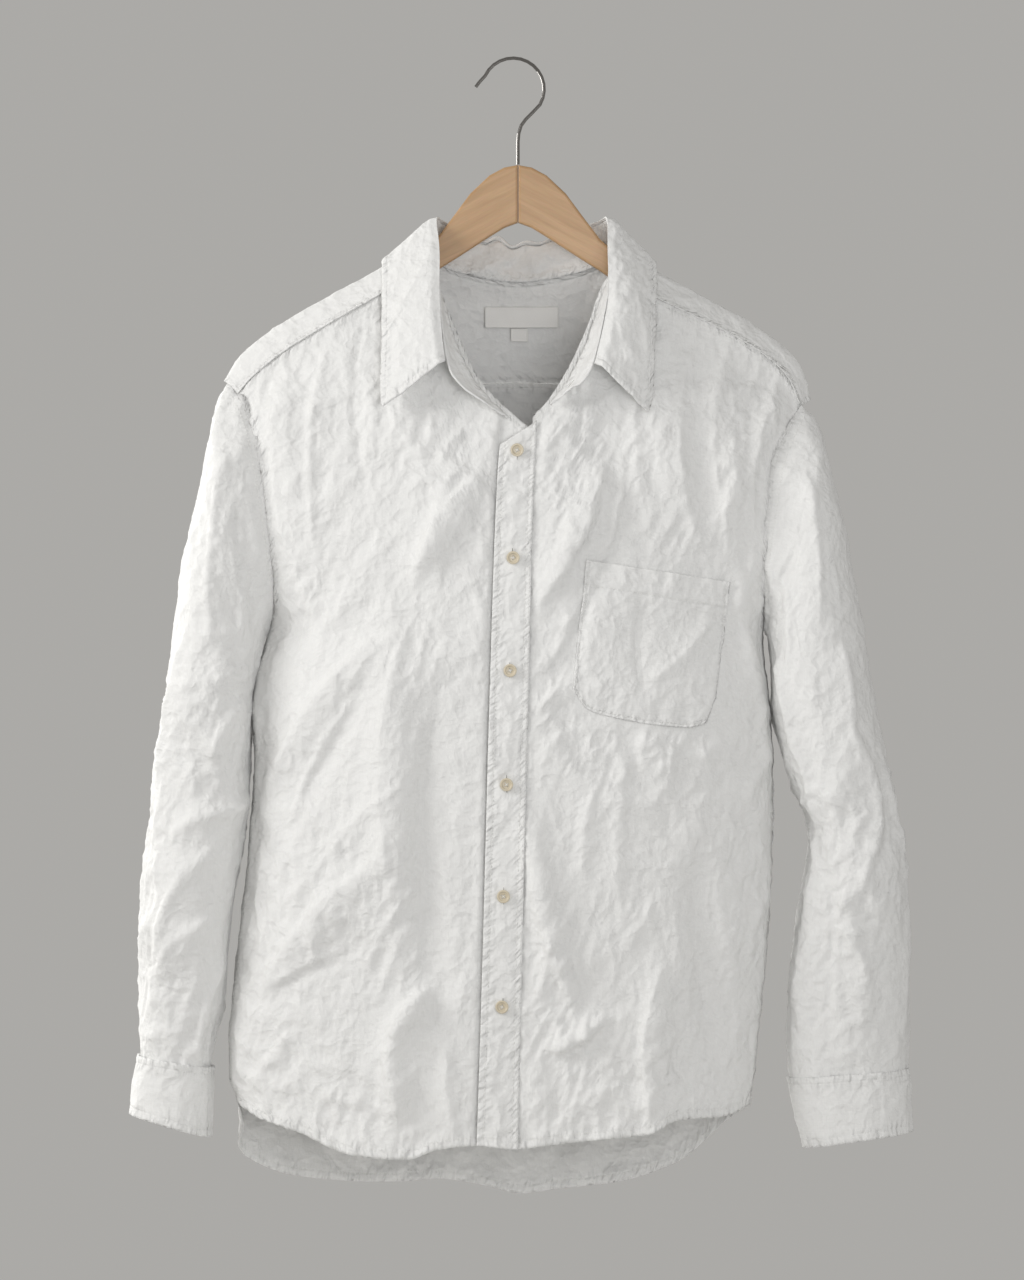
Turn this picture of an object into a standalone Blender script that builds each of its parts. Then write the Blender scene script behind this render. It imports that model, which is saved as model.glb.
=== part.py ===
"""A crumpled long-sleeved shirt on a flat wooden hanger with a wire hook.

Millimetres in every table below, metres in the meshes. +Z is up, the front faces -Y, and the origin
is the inner top of the hook, where a rail carries it. "Right" and "left" are the wearer's, so the
right front lies at -X.
"""

import bisect
import math

import bmesh
import bpy
from mathutils import Vector

mm = 0.001
wall = 1.5  # washed linen with its fine crumple
seamGap = 0.3
topGap = 2.0  # where the yoke's curved seam lies over the top of a front
layer = 2.0  # from the middle of one cloth to the middle of the next one that lies on it
outerGap = 0.5  # from the outer edge of a front to the seam line
backGap = 0.9  # from the side edge of the back to the seam line
backTopGap = 1.6  # under the back edge of the yoke
armholeAway = (3.2, 2.8)  # from the armhole seam to the sleeve, at the shoulder and under the arm
sleeveSquare = 0.86  # a sleeve's rings are a little squarer than ellipses
underlap = 2.8  # how far behind the placket the right front's edge lies
standFoot = 5.2  # from the neck seam up to the foot of the collar stand
leafLift = 3.0  # how far the leaf rises over the stand at the fold
leafTurn = 4.6  # how far out it rolls there
leafArch = 4.0
labelOff = 2.4  # from the middle of the yoke to the middle of a label
linen = (0.86, 0.86, 0.85)
tape = (0.88, 0.87, 0.85)
horn = (0.60, 0.52, 0.38)
beech = (0.60, 0.40, 0.22)
steel = (0.55, 0.55, 0.55)

# Outline of the body at each height: both edges, and how far forward or back they stand.
# Down to the underarm an edge is the armhole seam, and from there on the side seam.
edgeRows = (
    # z, right edge x, left edge x, front edge y, back edge y
    (-283, -254, 264.5, -2, 2),
    (-294, -242, 264, -10, 10),
    (-307, -236, 254, -16, 16),
    (-322, -230, 244, -23, 23),
    (-347, -225, 232, -29, 29),
    (-373, -220, 227, -33, 34),
    (-431, -213.5, 222, -33, 36),
    (-456, -210, 221, -27, 30),
    (-480, -209, 220, -17, 20),
    (-500, -212, 219.5, 0, 0),
    (-530, -220, 221, -1, -1),
    (-563, -226, 224, -2, -2),
    (-651, -229, 228, -3, -3),
    (-766, -240.5, 224, -6, -6),
    (-845, -248, 215.5, -8, -8),
    (-894, -247, 210, -10, -10),
    (-935, -237, 203, -12, -12),
)
# How far the middle of the front and of the back stand from the hanger's plane.
depthRows = (
    # z, front y, back y
    (-140, -4, 20),
    (-187, -22, 36),
    (-220, -29, 44),
    (-260, -40, 50),
    (-300, -49, 54),
    (-340, -57, 57),
    (-430, -70, 61),
    (-560, -79, 62),
    (-700, -82, 58),
    (-850, -78, 52),
    (-1000, -72, 46),
)
# The placket's two edges.
placketRows = (
    # z, free edge x, sewn edge x
    (-320, -9, 20.7),
    (-356, -13, 19),
    (-429, -16.4, 16.2),
    (-492, -18.5, 14.9),
    (-650, -23, 11),
    (-800, -27, 7.5),
    (-965, -32.2, 4),
)
# Neck seam from the placket to the front yoke seam, on each side.
neckRight = (
    # x, z
    (-77, -187),
    (-66, -205),
    (-58, -226),
    (-47, -254),
    (-32, -286),
    (2, -322),
    (14, -330),
)
neckLeft = (
    # x, z
    (-11, -340),
    (20, -319),
    (33, -307),
    (52, -276),
    (68, -240),
    (79, -208),
    (89, -192),
)
yokeSeamRight = (
    # x, z
    (-242, -294),
    (-225, -276),
    (-188, -249),
    (-115, -207),
    (-77, -187),
)
yokeSeamLeft = (
    # x, z
    (89, -192),
    (129, -214),
    (164, -231),
    (205, -252),
    (237, -277),
    (254, -307),
)
hemFront = (
    # x, z
    (-242, -917),
    (-224, -927.5),
    (-189.5, -940),
    (-148, -957),
    (-92, -962),
    (-68, -954),
    (-33, -950),
    (2, -953),
    (38, -949),
    (82, -944),
    (120, -940),
    (137, -930),
    (163, -927),
    (184, -925.5),
    (204, -918),
)
hemBack = (
    # x, z
    (-242, -912),
    (-238, -932),
    (-232, -947),
    (-225, -958),
    (-216, -968),
    (-192, -982),
    (-153, -989),
    (-102, -990),
    (-64, -988),
    (-26, -994),
    (6, -1001),
    (38, -997),
    (96, -990),
    (125.5, -981),
    (152, -968),
    (175, -946),
    (190, -931),
    (204, -920),
)
# The back swells out past the side seam low down.
backSwell = (
    # z, at the right side, at the left side
    (-560, 0, 0),
    (-700, 1, 1),
    (-800, 2, 1),
    (-870, 5, 1),
    (-910, 14, 1),
    (-940, 21, 1),
)
# Yoke sections from the right shoulder tip over the hanger and round the neck to the left tip.
yokeSections = (
    # front or neck edge x y z, before crest x y z, crest x y z, behind crest x y z, back seam x y z
    (-242, -9, -294, -249, -6, -286, -254, 0, -283, -247, 8, -289, -230, 23, -322),
    (-225, -14, -276, -232, -7, -262, -236, 0, -257, -232, 10, -264, -216, 32, -314),
    (-188, -19, -249, -191, -9, -231, -193, 0, -226, -191, 12, -235, -178, 40, -305),
    (-115, -24, -207, -115, -10, -188, -115, 0, -183, -115, 14, -192, -108, 49, -293),
    (-77, -21, -187, -87, -9, -166, -90, 0, -162, -88, 14, -174, -74, 52, -288),
    (-84, -6, -162, -84, 0, -160, -83, 6, -162, -80, 16, -180, -60, 53, -286),
    (-77, 12, -170, -76, 15, -174, -74, 20, -182, -70, 28, -202, -46, 53, -285),
    (-50, 26, -184, -49, 29, -190, -48, 32, -198, -44, 38, -214, -28, 54, -283),
    (5, 34, -193, 5, 36, -199, 5, 38, -206, 5, 42, -222, 5, 55, -282),
    (60, 26, -184, 59, 29, -190, 58, 32, -198, 54, 38, -214, 38, 54, -283),
    (87, 12, -171, 86, 15, -175, 84, 20, -183, 80, 28, -203, 56, 53, -285),
    (94, -6, -163, 94, 0, -161, 93, 6, -163, 90, 16, -181, 70, 53, -286),
    (89, -21, -192, 97, -9, -168, 101, 0, -164, 99, 14, -176, 84, 52, -288),
    (129, -25, -212.5, 128, -10, -193, 128, 0, -188, 128, 14, -197, 118, 49, -293),
    (200, -20, -247.5, 203, -9, -235, 205, 0, -230, 203, 12, -239, 188, 40, -306),
    (237, -15, -275, 245, -7, -267, 248, 0, -263, 244, 10, -270, 228, 32, -320),
    (252, -14, -304.5, 257, -7, -302.5, 261.5, 0, -299, 254, 8, -304.5, 240, 24, -329),
)
# Neck seam and fold line of the collar, from the wearer's right front end round to the left one.
collarRows = (
    # seam x y z, fold x y z, leaf edge x y z
    (-4, -56, -318, -24, -68, -304, -70, -66, -302),
    (-32, -48, -286, -46, -70, -288, -88, -66, -306),
    (-50, -41, -250, -58, -66, -266, -112.6, -60, -307),
    (-64, -25, -206, -64, -48, -214, -113, -45, -246),
    (-80, -15, -180, -66.5, -26, -170, -113, -23, -200),
    (-85, -3, -158.5, -69, -4, -143, -112, -2, -175),
    (-78, 10, -166, -62, 14, -144, -100, 20, -188),
    (-50, 25, -180.5, -42, 26, -153, -62, 42, -207),
    (5, 33, -189.5, 5, 35, -161, 5, 46, -213),
    (60, 25, -180.5, 52, 26, -153, 72, 42, -207),
    (88, 10, -167, 76, 14, -144, 112, 20, -189),
    (96, -3, -159.5, 84, -4, -143, 124, -2, -177.5),
    (91, -15, -184, 84, -26, -172, 124, -23, -205),
    (77, -28, -212, 82, -48, -214, 122, -45, -248),
    (64, -41, -252, 70, -66, -268, 117, -61, -312),
    (50, -49, -280, 60, -72, -286, 92, -68, -302),
    (32, -57, -306, 52, -70, -289, 76, -68, -296),
)
# Sleeve sections: the outer and the inner end of each, and half its depth from front to back.
sleeveRight = (
    # outer x, outer z, inner x, inner z, half depth
    (-262, -316, -218.5, -507, 42),
    (-272, -365, -224.5, -526, 50),
    (-285, -425, -229.5, -553, 55),
    (-297, -500, -231.5, -595, 57),
    (-305, -561, -233.5, -640, 57),
    (-314, -630, -237.5, -690, 56),
    (-322, -700, -246, -740, 54),
    (-326.5, -760, -251.5, -790, 51),
    (-326.5, -820, -257.5, -840, 46),
    (-326, -873, -266, -881, 40),
)
sleeveLeft = (
    # outer x, outer z, inner x, inner z, half depth
    (269, -325, 224.5, -508, 42),
    (278, -358, 226, -524, 50),
    (290, -410, 227.5, -545, 56),
    (303, -476, 229.5, -582, 59),
    (324, -603, 247, -636, 59),
    (334, -665, 260, -672, 57),
    (341, -725, 257.5, -722, 55),
    (345.5, -768, 251, -764, 51),
    (347.5, -815, 245, -812, 47),
    (346.5, -850, 243, -850, 42),
    (346, -883, 243, -891, 37),
)
cuffRight = (
    # outer x, outer z, inner x, inner z, half depth
    (-328.5, -875, -264.5, -885, 41),
    (-333, -902, -265.5, -915, 40),
    (-336, -926, -267, -947, 39),
)
cuffLeft = (
    # outer x, outer z, inner x, inner z, half depth
    (347.5, -886.5, 242, -894.5, 38),
    (349, -915, 248, -926, 38),
    (350, -942, 256, -956, 37),
)
# The largest folds of the front, as soft ridges from one point to another.
frontFolds = (
    # from x, z, to x, z, half width, rise
    (-26, -372, -84, -452, 12, 7),
    (-104, -500, -100, -760, 26, 9),
    (-76, -560, -70, -830, 16, -6),
    (-200, -270, -192, -440, 14, 5),
    (-130, -520, -214, -640, 12, 5),
    (-134, -560, -196, -672, 10, -4),
    (-120, -708, -214, -812, 13, 6),
    (-140, -778, -212, -812, 10, -4),
    (-75, -818, -104, -856, 10, 8),
    (-104, -856, -100, -925, 12, 7),
    (24, -478, 76, -364, 11, 6),
    (54, -500, 104, -392, 10, -4),
    (128, -284, 140, -420, 14, 5),
    (190, -300, 196, -440, 13, 6),
    (195, -456, 218, -566, 10, 5),
    (12, -664, 46, -812, 13, 7),
    (34, -866, 78, -838, 10, 6),
    (128, -798, 122, -935, 14, 7),
    (160, -700, 176, -880, 16, -5),
)
backFolds = (
    # from x, z, to x, z, half width, rise
    (-60, -320, -84, -760, 22, 8),
    (70, -320, 96, -700, 20, 8),
    (4, -420, 10, -900, 18, -6),
    (-150, -420, -176, -860, 22, 7),
    (150, -430, 170, -860, 20, 7),
    (-30, -760, -90, -960, 16, 6),
)
# Sleeve folds run round as they go down: the turn is in degrees from the outer edge, front first.
sleeveFolds = (
    # from z, turn, to z, turn, half width, rise
    (-330, 60, -640, 100, 16, -6),
    (-420, 110, -700, 60, 14, 6),
    (-560, 120, -800, 90, 12, -6),
    (-640, 50, -860, 110, 12, 6),
    (-360, 240, -680, 280, 16, -6),
    (-540, 300, -840, 250, 14, 6),
)
# Upper and lower edge of the wood from the middle joint out, as distances from that joint.
woodRows = (
    # out from the joint, upper edge z, lower edge z
    (0, -92.8, -143.5),
    (12, -95, -148),
    (25, -102, -156),
    (42, -118, -167),
    (56, -137, -176),
    (72, -158, -186),
    (90, -173, -199),
    (116, -190, -215),
    (165, -216, -240),
    (200, -240, -258),
    (207, -249, -256),
)
woodJointX = 4.3
woodHalf = 5.5
woodRound = 2.2
hookRadius = 27.3
wireRadius = 1.5
hookCentreZ = wireRadius - hookRadius
buttonRows = (
    # x, z
    (3.5, -345),
    (0, -439),
    (-2.6, -537),
    (-5.7, -636),
    (-8.4, -733),
    (-9.7, -829),
)
buttonRadius = 5.7
buttonThick = 2.4


def curve(rows):
    """A smooth function through rows: it takes the first column and gives the others."""
    rows = sorted(rows)
    at = [row[0] for row in rows]

    def slope(i, k):
        before, after = max(i - 1, 0), min(i + 1, len(rows) - 1)
        return (rows[after][k] - rows[before][k]) / (at[after] - at[before])

    def value(t):
        t = min(max(t, at[0]), at[-1])
        i = min(max(bisect.bisect_right(at, t) - 1, 0), len(at) - 2)
        span = at[i + 1] - at[i]
        s = (t - at[i]) / span
        found = []
        for k in range(1, len(rows[0])):
            start, end = rows[i][k], rows[i + 1][k]
            rise = (s**3 - 2 * s**2 + s) * slope(i, k) + (s**3 - s**2) * slope(i + 1, k)
            found.append(start + (3 * s**2 - 2 * s**3) * (end - start) + rise * span)
        return found if len(found) > 1 else found[0]

    return value


def mix(a, b, t):
    return a + (b - a) * t


def easing(low, high, t):
    t = min(max((t - low) / (high - low), 0), 1)
    return t * t * (3 - 2 * t)


edges = curve(edgeRows)
depths = curve(depthRows)
placketEdges = curve(placketRows)
swell = curve(backSwell)
hemFrontZ = curve(hemFront)
hemBackZ = curve(hemBack)
neckRightZ = curve(neckRight)
neckLeftZ = curve(neckLeft)
yokeRightZ = curve(yokeSeamRight)
yokeLeftZ = curve(yokeSeamLeft)


def foldRise(folds, x, z):
    """How far the folds lift the cloth here."""
    total = 0
    for x0, z0, x1, z1, width, rise in folds:
        along = Vector((x1 - x0, z1 - z0))
        here = Vector((x - x0, z - z0))
        t = min(max(here.dot(along) / along.length_squared, 0), 1)
        away = (here - along * t).length / width
        total += rise * math.exp(-away * away) * (0.35 + 0.65 * math.sin(math.pi * t))
    return total


def roundness(s, z):
    """How much of the depth is left at s, from 0 in the middle to 1 at the edge."""
    s = min(abs(s), 1)
    below = easing(-400, -540, z)
    return mix(1 - s**2.2, (1 - s**2.6) ** (1 / 2.2), below)


def frontY(x, z):
    rightX, leftX, edgeY, _ = edges(z)
    s = x / (leftX if x > 0 else rightX)
    level = mix(edgeY, depths(z)[0], roundness(s, z))
    return level - foldRise(frontFolds, x, z) * easing(1.0, 0.86, abs(s))


def backY(x, z):
    rightX, leftX, _, edgeY = edges(z)
    s = x / (leftX if x > 0 else rightX)
    level = mix(edgeY, depths(z)[1], roundness(s, z))
    return level + foldRise(backFolds, x, z) * easing(1.0, 0.86, abs(s))


def spread(count, low=0.0, high=1.0):
    return [mix(low, high, i / count) for i in range(count + 1)]


def toward(count):
    """Steps from the middle of a panel to its edge, closer together near the edge."""
    return [math.sin(t * math.pi / 2) ** 0.85 for t in spread(count)]


def makeMaterial(name, colour, roughness, metallic=0.0):
    material = bpy.data.materials.new(name)
    material.use_nodes = True
    shader = material.node_tree.nodes["Principled BSDF"]
    shader.inputs["Base Color"].default_value = (*colour, 1)
    shader.inputs["Roughness"].default_value = roughness
    shader.inputs["Metallic"].default_value = metallic
    return material


def addObject(name, mesh, colour, roughness, metallic=0.0):
    piece = bpy.data.objects.new(name, mesh)
    shirt.objects.link(piece)
    mesh.materials.append(makeMaterial(name, colour, roughness, metallic))
    return piece


def addCloth(name, grid, closed=False, thick=wall, colour=linen):
    """A sheet through a grid of points, rows downwards, given its wall by Solidify."""
    rows, columns = len(grid), len(grid[0])
    form = bmesh.new()
    points = [[form.verts.new(Vector(point) * mm) for point in row] for row in grid]
    for j in range(rows - 1):
        for i in range(columns if closed else columns - 1):
            k = (i + 1) % columns
            form.faces.new((points[j][i], points[j + 1][i], points[j + 1][k], points[j][k]))
    mesh = bpy.data.meshes.new(name)
    form.to_mesh(mesh)
    form.free()
    mesh.shade_smooth()
    piece = addObject(name, mesh, colour, 0.85)
    shell = piece.modifiers.new("wall", "SOLIDIFY")
    shell.thickness = thick * mm
    shell.offset = 0
    return piece


def frontTopRight(x):
    return yokeRightZ(x) if x < neckRight[0][0] else neckRightZ(x)


def frontTopLeft(x):
    return neckLeftZ(x) if x < neckLeft[-1][0] else yokeLeftZ(x)


def makeFronts():
    columns, rows = 15, 20
    underlapSteps = [0, 0.06, 0.11, 0.15]
    gridRight = []
    for v in spread(rows):
        row = []
        for u in underlapSteps + [u for u in toward(columns) if u > 0.2]:
            topX = mix(14, -242 + outerGap, u)
            hemX = mix(0, -241 + outerGap, u)
            z = mix(frontTopRight(topX) - topGap, hemFrontZ(hemX), v)
            side = mix(-242, edges(z)[0], easing(-294, -300, z)) + outerGap
            x = mix(placketEdges(z)[1] - 5, side, u)
            under = underlap * easing(placketEdges(z)[0] - 12, placketEdges(z)[0] - 3, x)
            row.append((x, frontY(x, z) + under, z))
        gridRight.append(row)
    addCloth("front_right_panel", gridRight)

    gridLeft = []
    for v in spread(rows):
        row = []
        for u in toward(columns):
            topX = mix(20.7, 254 - outerGap, u)
            hemX = mix(4, 204 - outerGap, u)
            z = mix(frontTopLeft(topX) - topGap, hemFrontZ(hemX), v)
            side = mix(254, edges(z)[1], easing(-307, -313, z)) - outerGap
            x = mix(placketEdges(z)[1] + seamGap, side, u)
            row.append((x, frontY(x, z), z))
        gridLeft.append(row)
    addCloth("front_left_panel", gridLeft)

    strip = []
    for v in spread(24):
        row = []
        for u in spread(3):
            z = mix(neckLeftZ(mix(-11, 20, u)) - seamGap, hemFrontZ(mix(-32, 4, u)), v)
            x = mix(*placketEdges(z), u)
            row.append((x, frontY(x, z), z))
        strip.append(row)
    addCloth("front_placket", strip)


def makeBack():
    columns, rows = 11, 18
    steps = [-t for t in reversed(toward(columns))] + toward(columns)[1:]
    grid = []
    for v in spread(rows):
        row = []
        for u in steps:
            end = backEnds[0] if u < 0 else backEnds[1]
            topX = mix(5, end, abs(u))
            hemX = mix(5, -241 if u < 0 else 203, abs(u))
            z = mix(backSeam(topX)[1] - backTopGap, hemBackZ(hemX), v)
            side = edges(z)[0] + backGap if u < 0 else edges(z)[1] - backGap
            x = mix(5, side, abs(u))
            y = backY(x, z)
            rightOut, leftOut = swell(z)
            swollen = easing(0, 0.07, 1 - abs(u)) * easing(0.36, 0.08, 1 - abs(u))
            x += swollen * (leftOut if u > 0 else -rightOut)
            row.append((x, y, z))
        grid.append(row)
    addCloth("back_panel", grid)


def sectionCurve(row):
    points = [(stop, *row[3 * k : 3 * k + 3]) for k, stop in enumerate((0, 0.16, 0.28, 0.46, 1))]
    return curve(points)


yokePaths = [sectionCurve(row) for row in yokeSections]
backEnds = (yokeSections[0][12], yokeSections[-1][12])
backSeam = curve([(row[12], row[13], row[14]) for row in yokeSections])


def yokePoint(s, t):
    """The yoke at section s, counted along the table, and t from its front or neck edge to the back."""
    return curve([(i, *path(t)) for i, path in enumerate(yokePaths)])(s)


def makeYoke():
    sections = len(yokeSections) - 1
    stops = [0, 0.07, 0.15, 0.21, 0.28, 0.36, 0.46, 0.6, 0.78, 1]
    columns = spread(2 * sections, 0, sections)
    grid = []
    for t in stops:
        row = []
        for s in columns:
            row.append(yokePoint(s, t))
        grid.append(row)
    addCloth("yoke", grid)


def ring(rows, armhole, around):
    """Rings of one sleeve from the armhole down, each starting at its outer end, front first."""
    turns = [2 * math.pi * i / around for i in range(around)]
    rings = []
    for outerX, outerZ, innerX, innerZ, half in rows:
        loop = []
        for turn in turns:
            across = math.copysign(abs(math.cos(turn)) ** sleeveSquare, math.cos(turn))
            deep = math.copysign(abs(math.sin(turn)) ** sleeveSquare, math.sin(turn))
            x = mix(innerX, outerX, (1 + across) / 2)
            z = mix(innerZ, outerZ, (1 + across) / 2)
            loop.append(Vector((x, -half * deep - 3, z)))
        rings.append(loop)
    if armhole is not None:
        rings.insert(0, [armhole(turn) for turn in turns])
    return rings


def armholeRing(column, tipZ, away):
    """The armhole seam as a loop, moved away from the body, more so under the arm."""

    def point(turn):
        z = mix(tipZ, -500, (1 - math.cos(turn)) / 2)
        found = edges(z)
        y = found[2] if turn <= math.pi else found[3]
        if turn > 0 and z > -296:
            y = -12 * math.sin(turn) * 0.9
        x = found[column] + away * mix(*armholeAway, (1 - math.cos(turn)) / 2)
        return Vector((x, y, z))

    return point


def foldedRings(rings):
    """Lifts the sleeve's folds outwards from each ring's middle."""
    count = len(rings[0])
    for k, loop in enumerate(rings[1:-1], 1):
        middle = sum(loop, Vector()) / count
        for i, point in enumerate(loop):
            turn = 360 * i / count
            lift = 0
            for z0, turn0, z1, turn1, width, rise in sleeveFolds:
                t = min(max((middle.z - z0) / (z1 - z0), 0), 1)
                off = (turn - mix(turn0, turn1, t)) * 0.8 / width
                beyond = max(middle.z - z0, z1 - middle.z, 0) / 60
                lift += rise * math.exp(-off * off - beyond * beyond)
            out = (point - middle).normalized()
            loop[i] = point + out * lift * (1 - abs(out.x) ** 2)
    return rings


def makeSleeves():
    around = 20
    right = foldedRings(ring(sleeveRight, armholeRing(0, -283, -1), around))
    left = foldedRings(ring(sleeveLeft, armholeRing(1, -304, 1), around))
    addCloth("sleeve_right", [list(reversed(loop)) for loop in right], closed=True)
    addCloth("sleeve_left", left, closed=True)
    addCloth("cuff_right", [list(reversed(loop)) for loop in ring(cuffRight, None, around)], True)
    addCloth("cuff_left", ring(cuffLeft, None, around), True)


collarCurve = curve([(i, *row) for i, row in enumerate(collarRows)])


def makeCollar():
    last = len(collarRows) - 1
    stand = []
    for t in (0, 0.5, 1):
        row = []
        for s in spread(2 * last, 0, last):
            found = collarCurve(s)
            seam, fold = Vector(found[:3]), Vector(found[3:6])
            row.append(seam.lerp(fold, t) + (fold - seam).normalized() * standFoot * (1 - t))
        stand.append(row)
    addCloth("collar_stand", stand)

    leaf = []
    first, end = 2, last - 2
    for t in (0, 0.08, 0.3, 0.65, 1):
        row = []
        for s in spread(2 * (end - first), first, end):
            found = collarCurve(s)
            seam, fold, edge = Vector(found[:3]), Vector(found[3:6]), Vector(found[6:])
            up = (fold - seam).normalized()
            out = Vector((fold.x - 5, fold.y, 0)).normalized()
            rise = leafLift * (1 - t) + leafArch * 4 * t * (1 - t)
            turned = leafTurn * easing(0, 0.08, t) * (1 - 0.7 * t)
            row.append(fold.lerp(edge, t) + up * rise + out * turned)
        leaf.append(row)
    addCloth("collar_leaf", leaf)


def makePocket():
    bottom = curve(
        (
            # across, x, z
            (0, 52, -553),
            (0.12, 64, -570),
            (0.3, 88.5, -578),
            (0.6, 131, -585),
            (0.9, 166, -583),
            (1, 176, -561),
        )
    )
    grid = []
    for v in spread(8):
        row = []
        for u in spread(8):
            topX, topZ = mix(62.7, 188.8, u), mix(-441, -460, u)
            lowX, lowZ = bottom(u)
            x, z = mix(topX, lowX, v), mix(topZ, lowZ, v)
            near = [frontY(x + dx, z + dz) for dx in (-11, 0, 11) for dz in (-11, 0, 11)]
            row.append((x, min(near) - layer, z))
        grid.append(row)
    addCloth("chest_pocket", grid)


def yokeInside(x, z):
    """How far back the inside of the yoke lies behind the neck."""
    middle = len(yokePaths) // 2
    s = middle + (x - 5) / 55
    low, high = 0.0, 1.0
    for _ in range(30):
        t = (low + high) / 2
        if yokePoint(s, t)[2] > z:
            low = t
        else:
            high = t
    return yokePoint(s, t)[1]


def makeLabels():
    for name, left, right, top, low in (
        # name, from x, to x, top z, lower z
        ("neck_label", -25, 40, -216, -234),
        ("size_tab", -2, 13, -234.6, -246),
    ):
        grid = []
        for z in spread(2, top, low):
            grid.append([(x, yokeInside(x, z) - labelOff, z) for x in spread(4, left, right)])
        addCloth(name, grid, thick=0.8, colour=tape)


def addButton(name, x, y, z, facing):
    """A turned button with a raised rim, its face looking along facing."""
    profile = (
        # out from the axis, height
        (0.0, 0.55),
        (0.55, 0.55),
        (0.72, 1.0),
        (0.92, 1.0),
        (1.0, 0.7),
        (0.94, 0.25),
        (0.6, 0.0),
        (0.0, 0.0),
    )
    mesh = bpy.data.meshes.new(name)
    form = bmesh.new()
    dots = [
        form.verts.new((out * buttonRadius * mm, 0, high * buttonThick * mm)) for out, high in profile
    ]
    for a, b in zip(dots, dots[1:]):
        form.edges.new((a, b))
    form.to_mesh(mesh)
    form.free()
    piece = addObject(name, mesh, horn, 0.35)
    piece.location = Vector((x, y, z)) * mm
    piece.rotation_mode = "QUATERNION"
    piece.rotation_quaternion = Vector(facing).to_track_quat("Z", "Y")
    turn = piece.modifiers.new("turned", "SCREW")
    turn.steps = turn.render_steps = 16
    turn.use_merge_vertices = True
    turn.merge_threshold = 0.00001
    turn.use_normal_flip = False
    return piece


def makeButtons():
    for number, (x, z) in enumerate(buttonRows, 1):
        y = min(frontY(x + dx, z + dz) for dx in (-5, 0, 5) for dz in (-5, 0, 5)) - wall / 2 - 0.4
        addButton(f"button_{number}", x, y, z, (0, -1, 0))


def makeHanger():
    for name, side in (("hanger_arm_right", -1), ("hanger_arm_left", 1)):
        upper = [(out, top) for out, top, _ in woodRows]
        lower = [(out, low) for out, _, low in reversed(woodRows)]
        outline = [(woodJointX + side * (out + 0.15), z) for out, z in upper + lower]
        shape = bpy.data.curves.new(name, "CURVE")
        shape.dimensions = "2D"
        shape.fill_mode = "BOTH"
        shape.extrude = (woodHalf - woodRound) * mm
        shape.bevel_depth = woodRound * mm
        shape.bevel_resolution = 2
        shape.offset = -woodRound * mm
        spline = shape.splines.new("POLY")
        spline.points.add(len(outline) - 1)
        for point, (x, z) in zip(spline.points, outline):
            point.co = (x * mm, z * mm, 0, 1)
        spline.use_cyclic_u = True
        piece = addObject(name, shape, beech, 0.5)
        piece.rotation_euler = (math.pi / 2, 0, 0)

    bend = [(-33, -24), (-29.3, -19.2)]
    for i in range(15):
        angle = math.radians(mix(155, -30, i / 14))
        bend.append((hookRadius * math.cos(angle), hookCentreZ + hookRadius * math.sin(angle)))
    bend += [(17, -46.5), (11, -52.5), (7, -58), (4.9, -65), (4.3, -72), (4.3, -92.2)]
    wire = bpy.data.curves.new("hanger_hook", "CURVE")
    wire.dimensions = "3D"
    wire.bevel_depth = wireRadius * mm
    wire.bevel_resolution = 2
    wire.use_fill_caps = True
    spline = wire.splines.new("POLY")
    spline.points.add(len(bend) - 1)
    for point, (x, z) in zip(spline.points, bend):
        point.co = (x * mm, 0, z * mm, 1)
    addObject("hanger_hook", wire, steel, 0.25, 1.0)


for old in list(bpy.data.objects):
    bpy.data.objects.remove(old)
shirt = bpy.data.collections.new("crumpled_shirt")
bpy.context.scene.collection.children.link(shirt)
makeFronts()
makeYoke()
makeBack()
makeSleeves()
makeCollar()
makePocket()
makeLabels()
makeButtons()
makeHanger()
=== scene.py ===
import math

import bmesh
import bpy
import numpy as np
from mathutils import Matrix, Vector


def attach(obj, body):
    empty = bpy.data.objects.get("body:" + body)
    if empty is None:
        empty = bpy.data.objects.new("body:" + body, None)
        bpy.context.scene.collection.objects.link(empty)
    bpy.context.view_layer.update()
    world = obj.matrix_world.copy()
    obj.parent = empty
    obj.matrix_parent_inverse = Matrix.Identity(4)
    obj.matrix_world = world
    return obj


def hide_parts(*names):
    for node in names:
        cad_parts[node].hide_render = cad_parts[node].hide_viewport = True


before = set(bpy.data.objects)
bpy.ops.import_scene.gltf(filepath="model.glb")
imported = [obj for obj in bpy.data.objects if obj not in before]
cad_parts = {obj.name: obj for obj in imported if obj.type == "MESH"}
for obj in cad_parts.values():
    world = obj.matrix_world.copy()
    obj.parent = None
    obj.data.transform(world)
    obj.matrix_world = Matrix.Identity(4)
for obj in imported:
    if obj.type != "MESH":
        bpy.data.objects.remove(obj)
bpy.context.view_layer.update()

mm = 0.001

# Tables are in millimetres: z is measured down from the inner top of the hook, the front faces -y,
# and right and left are the wearer's, so the right front lies at -x.
wall = 1.1  # linen with its crumple
layer = 2.0  # from the middle of one cloth to the middle of the next one on it

seamGap = 0.3

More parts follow.
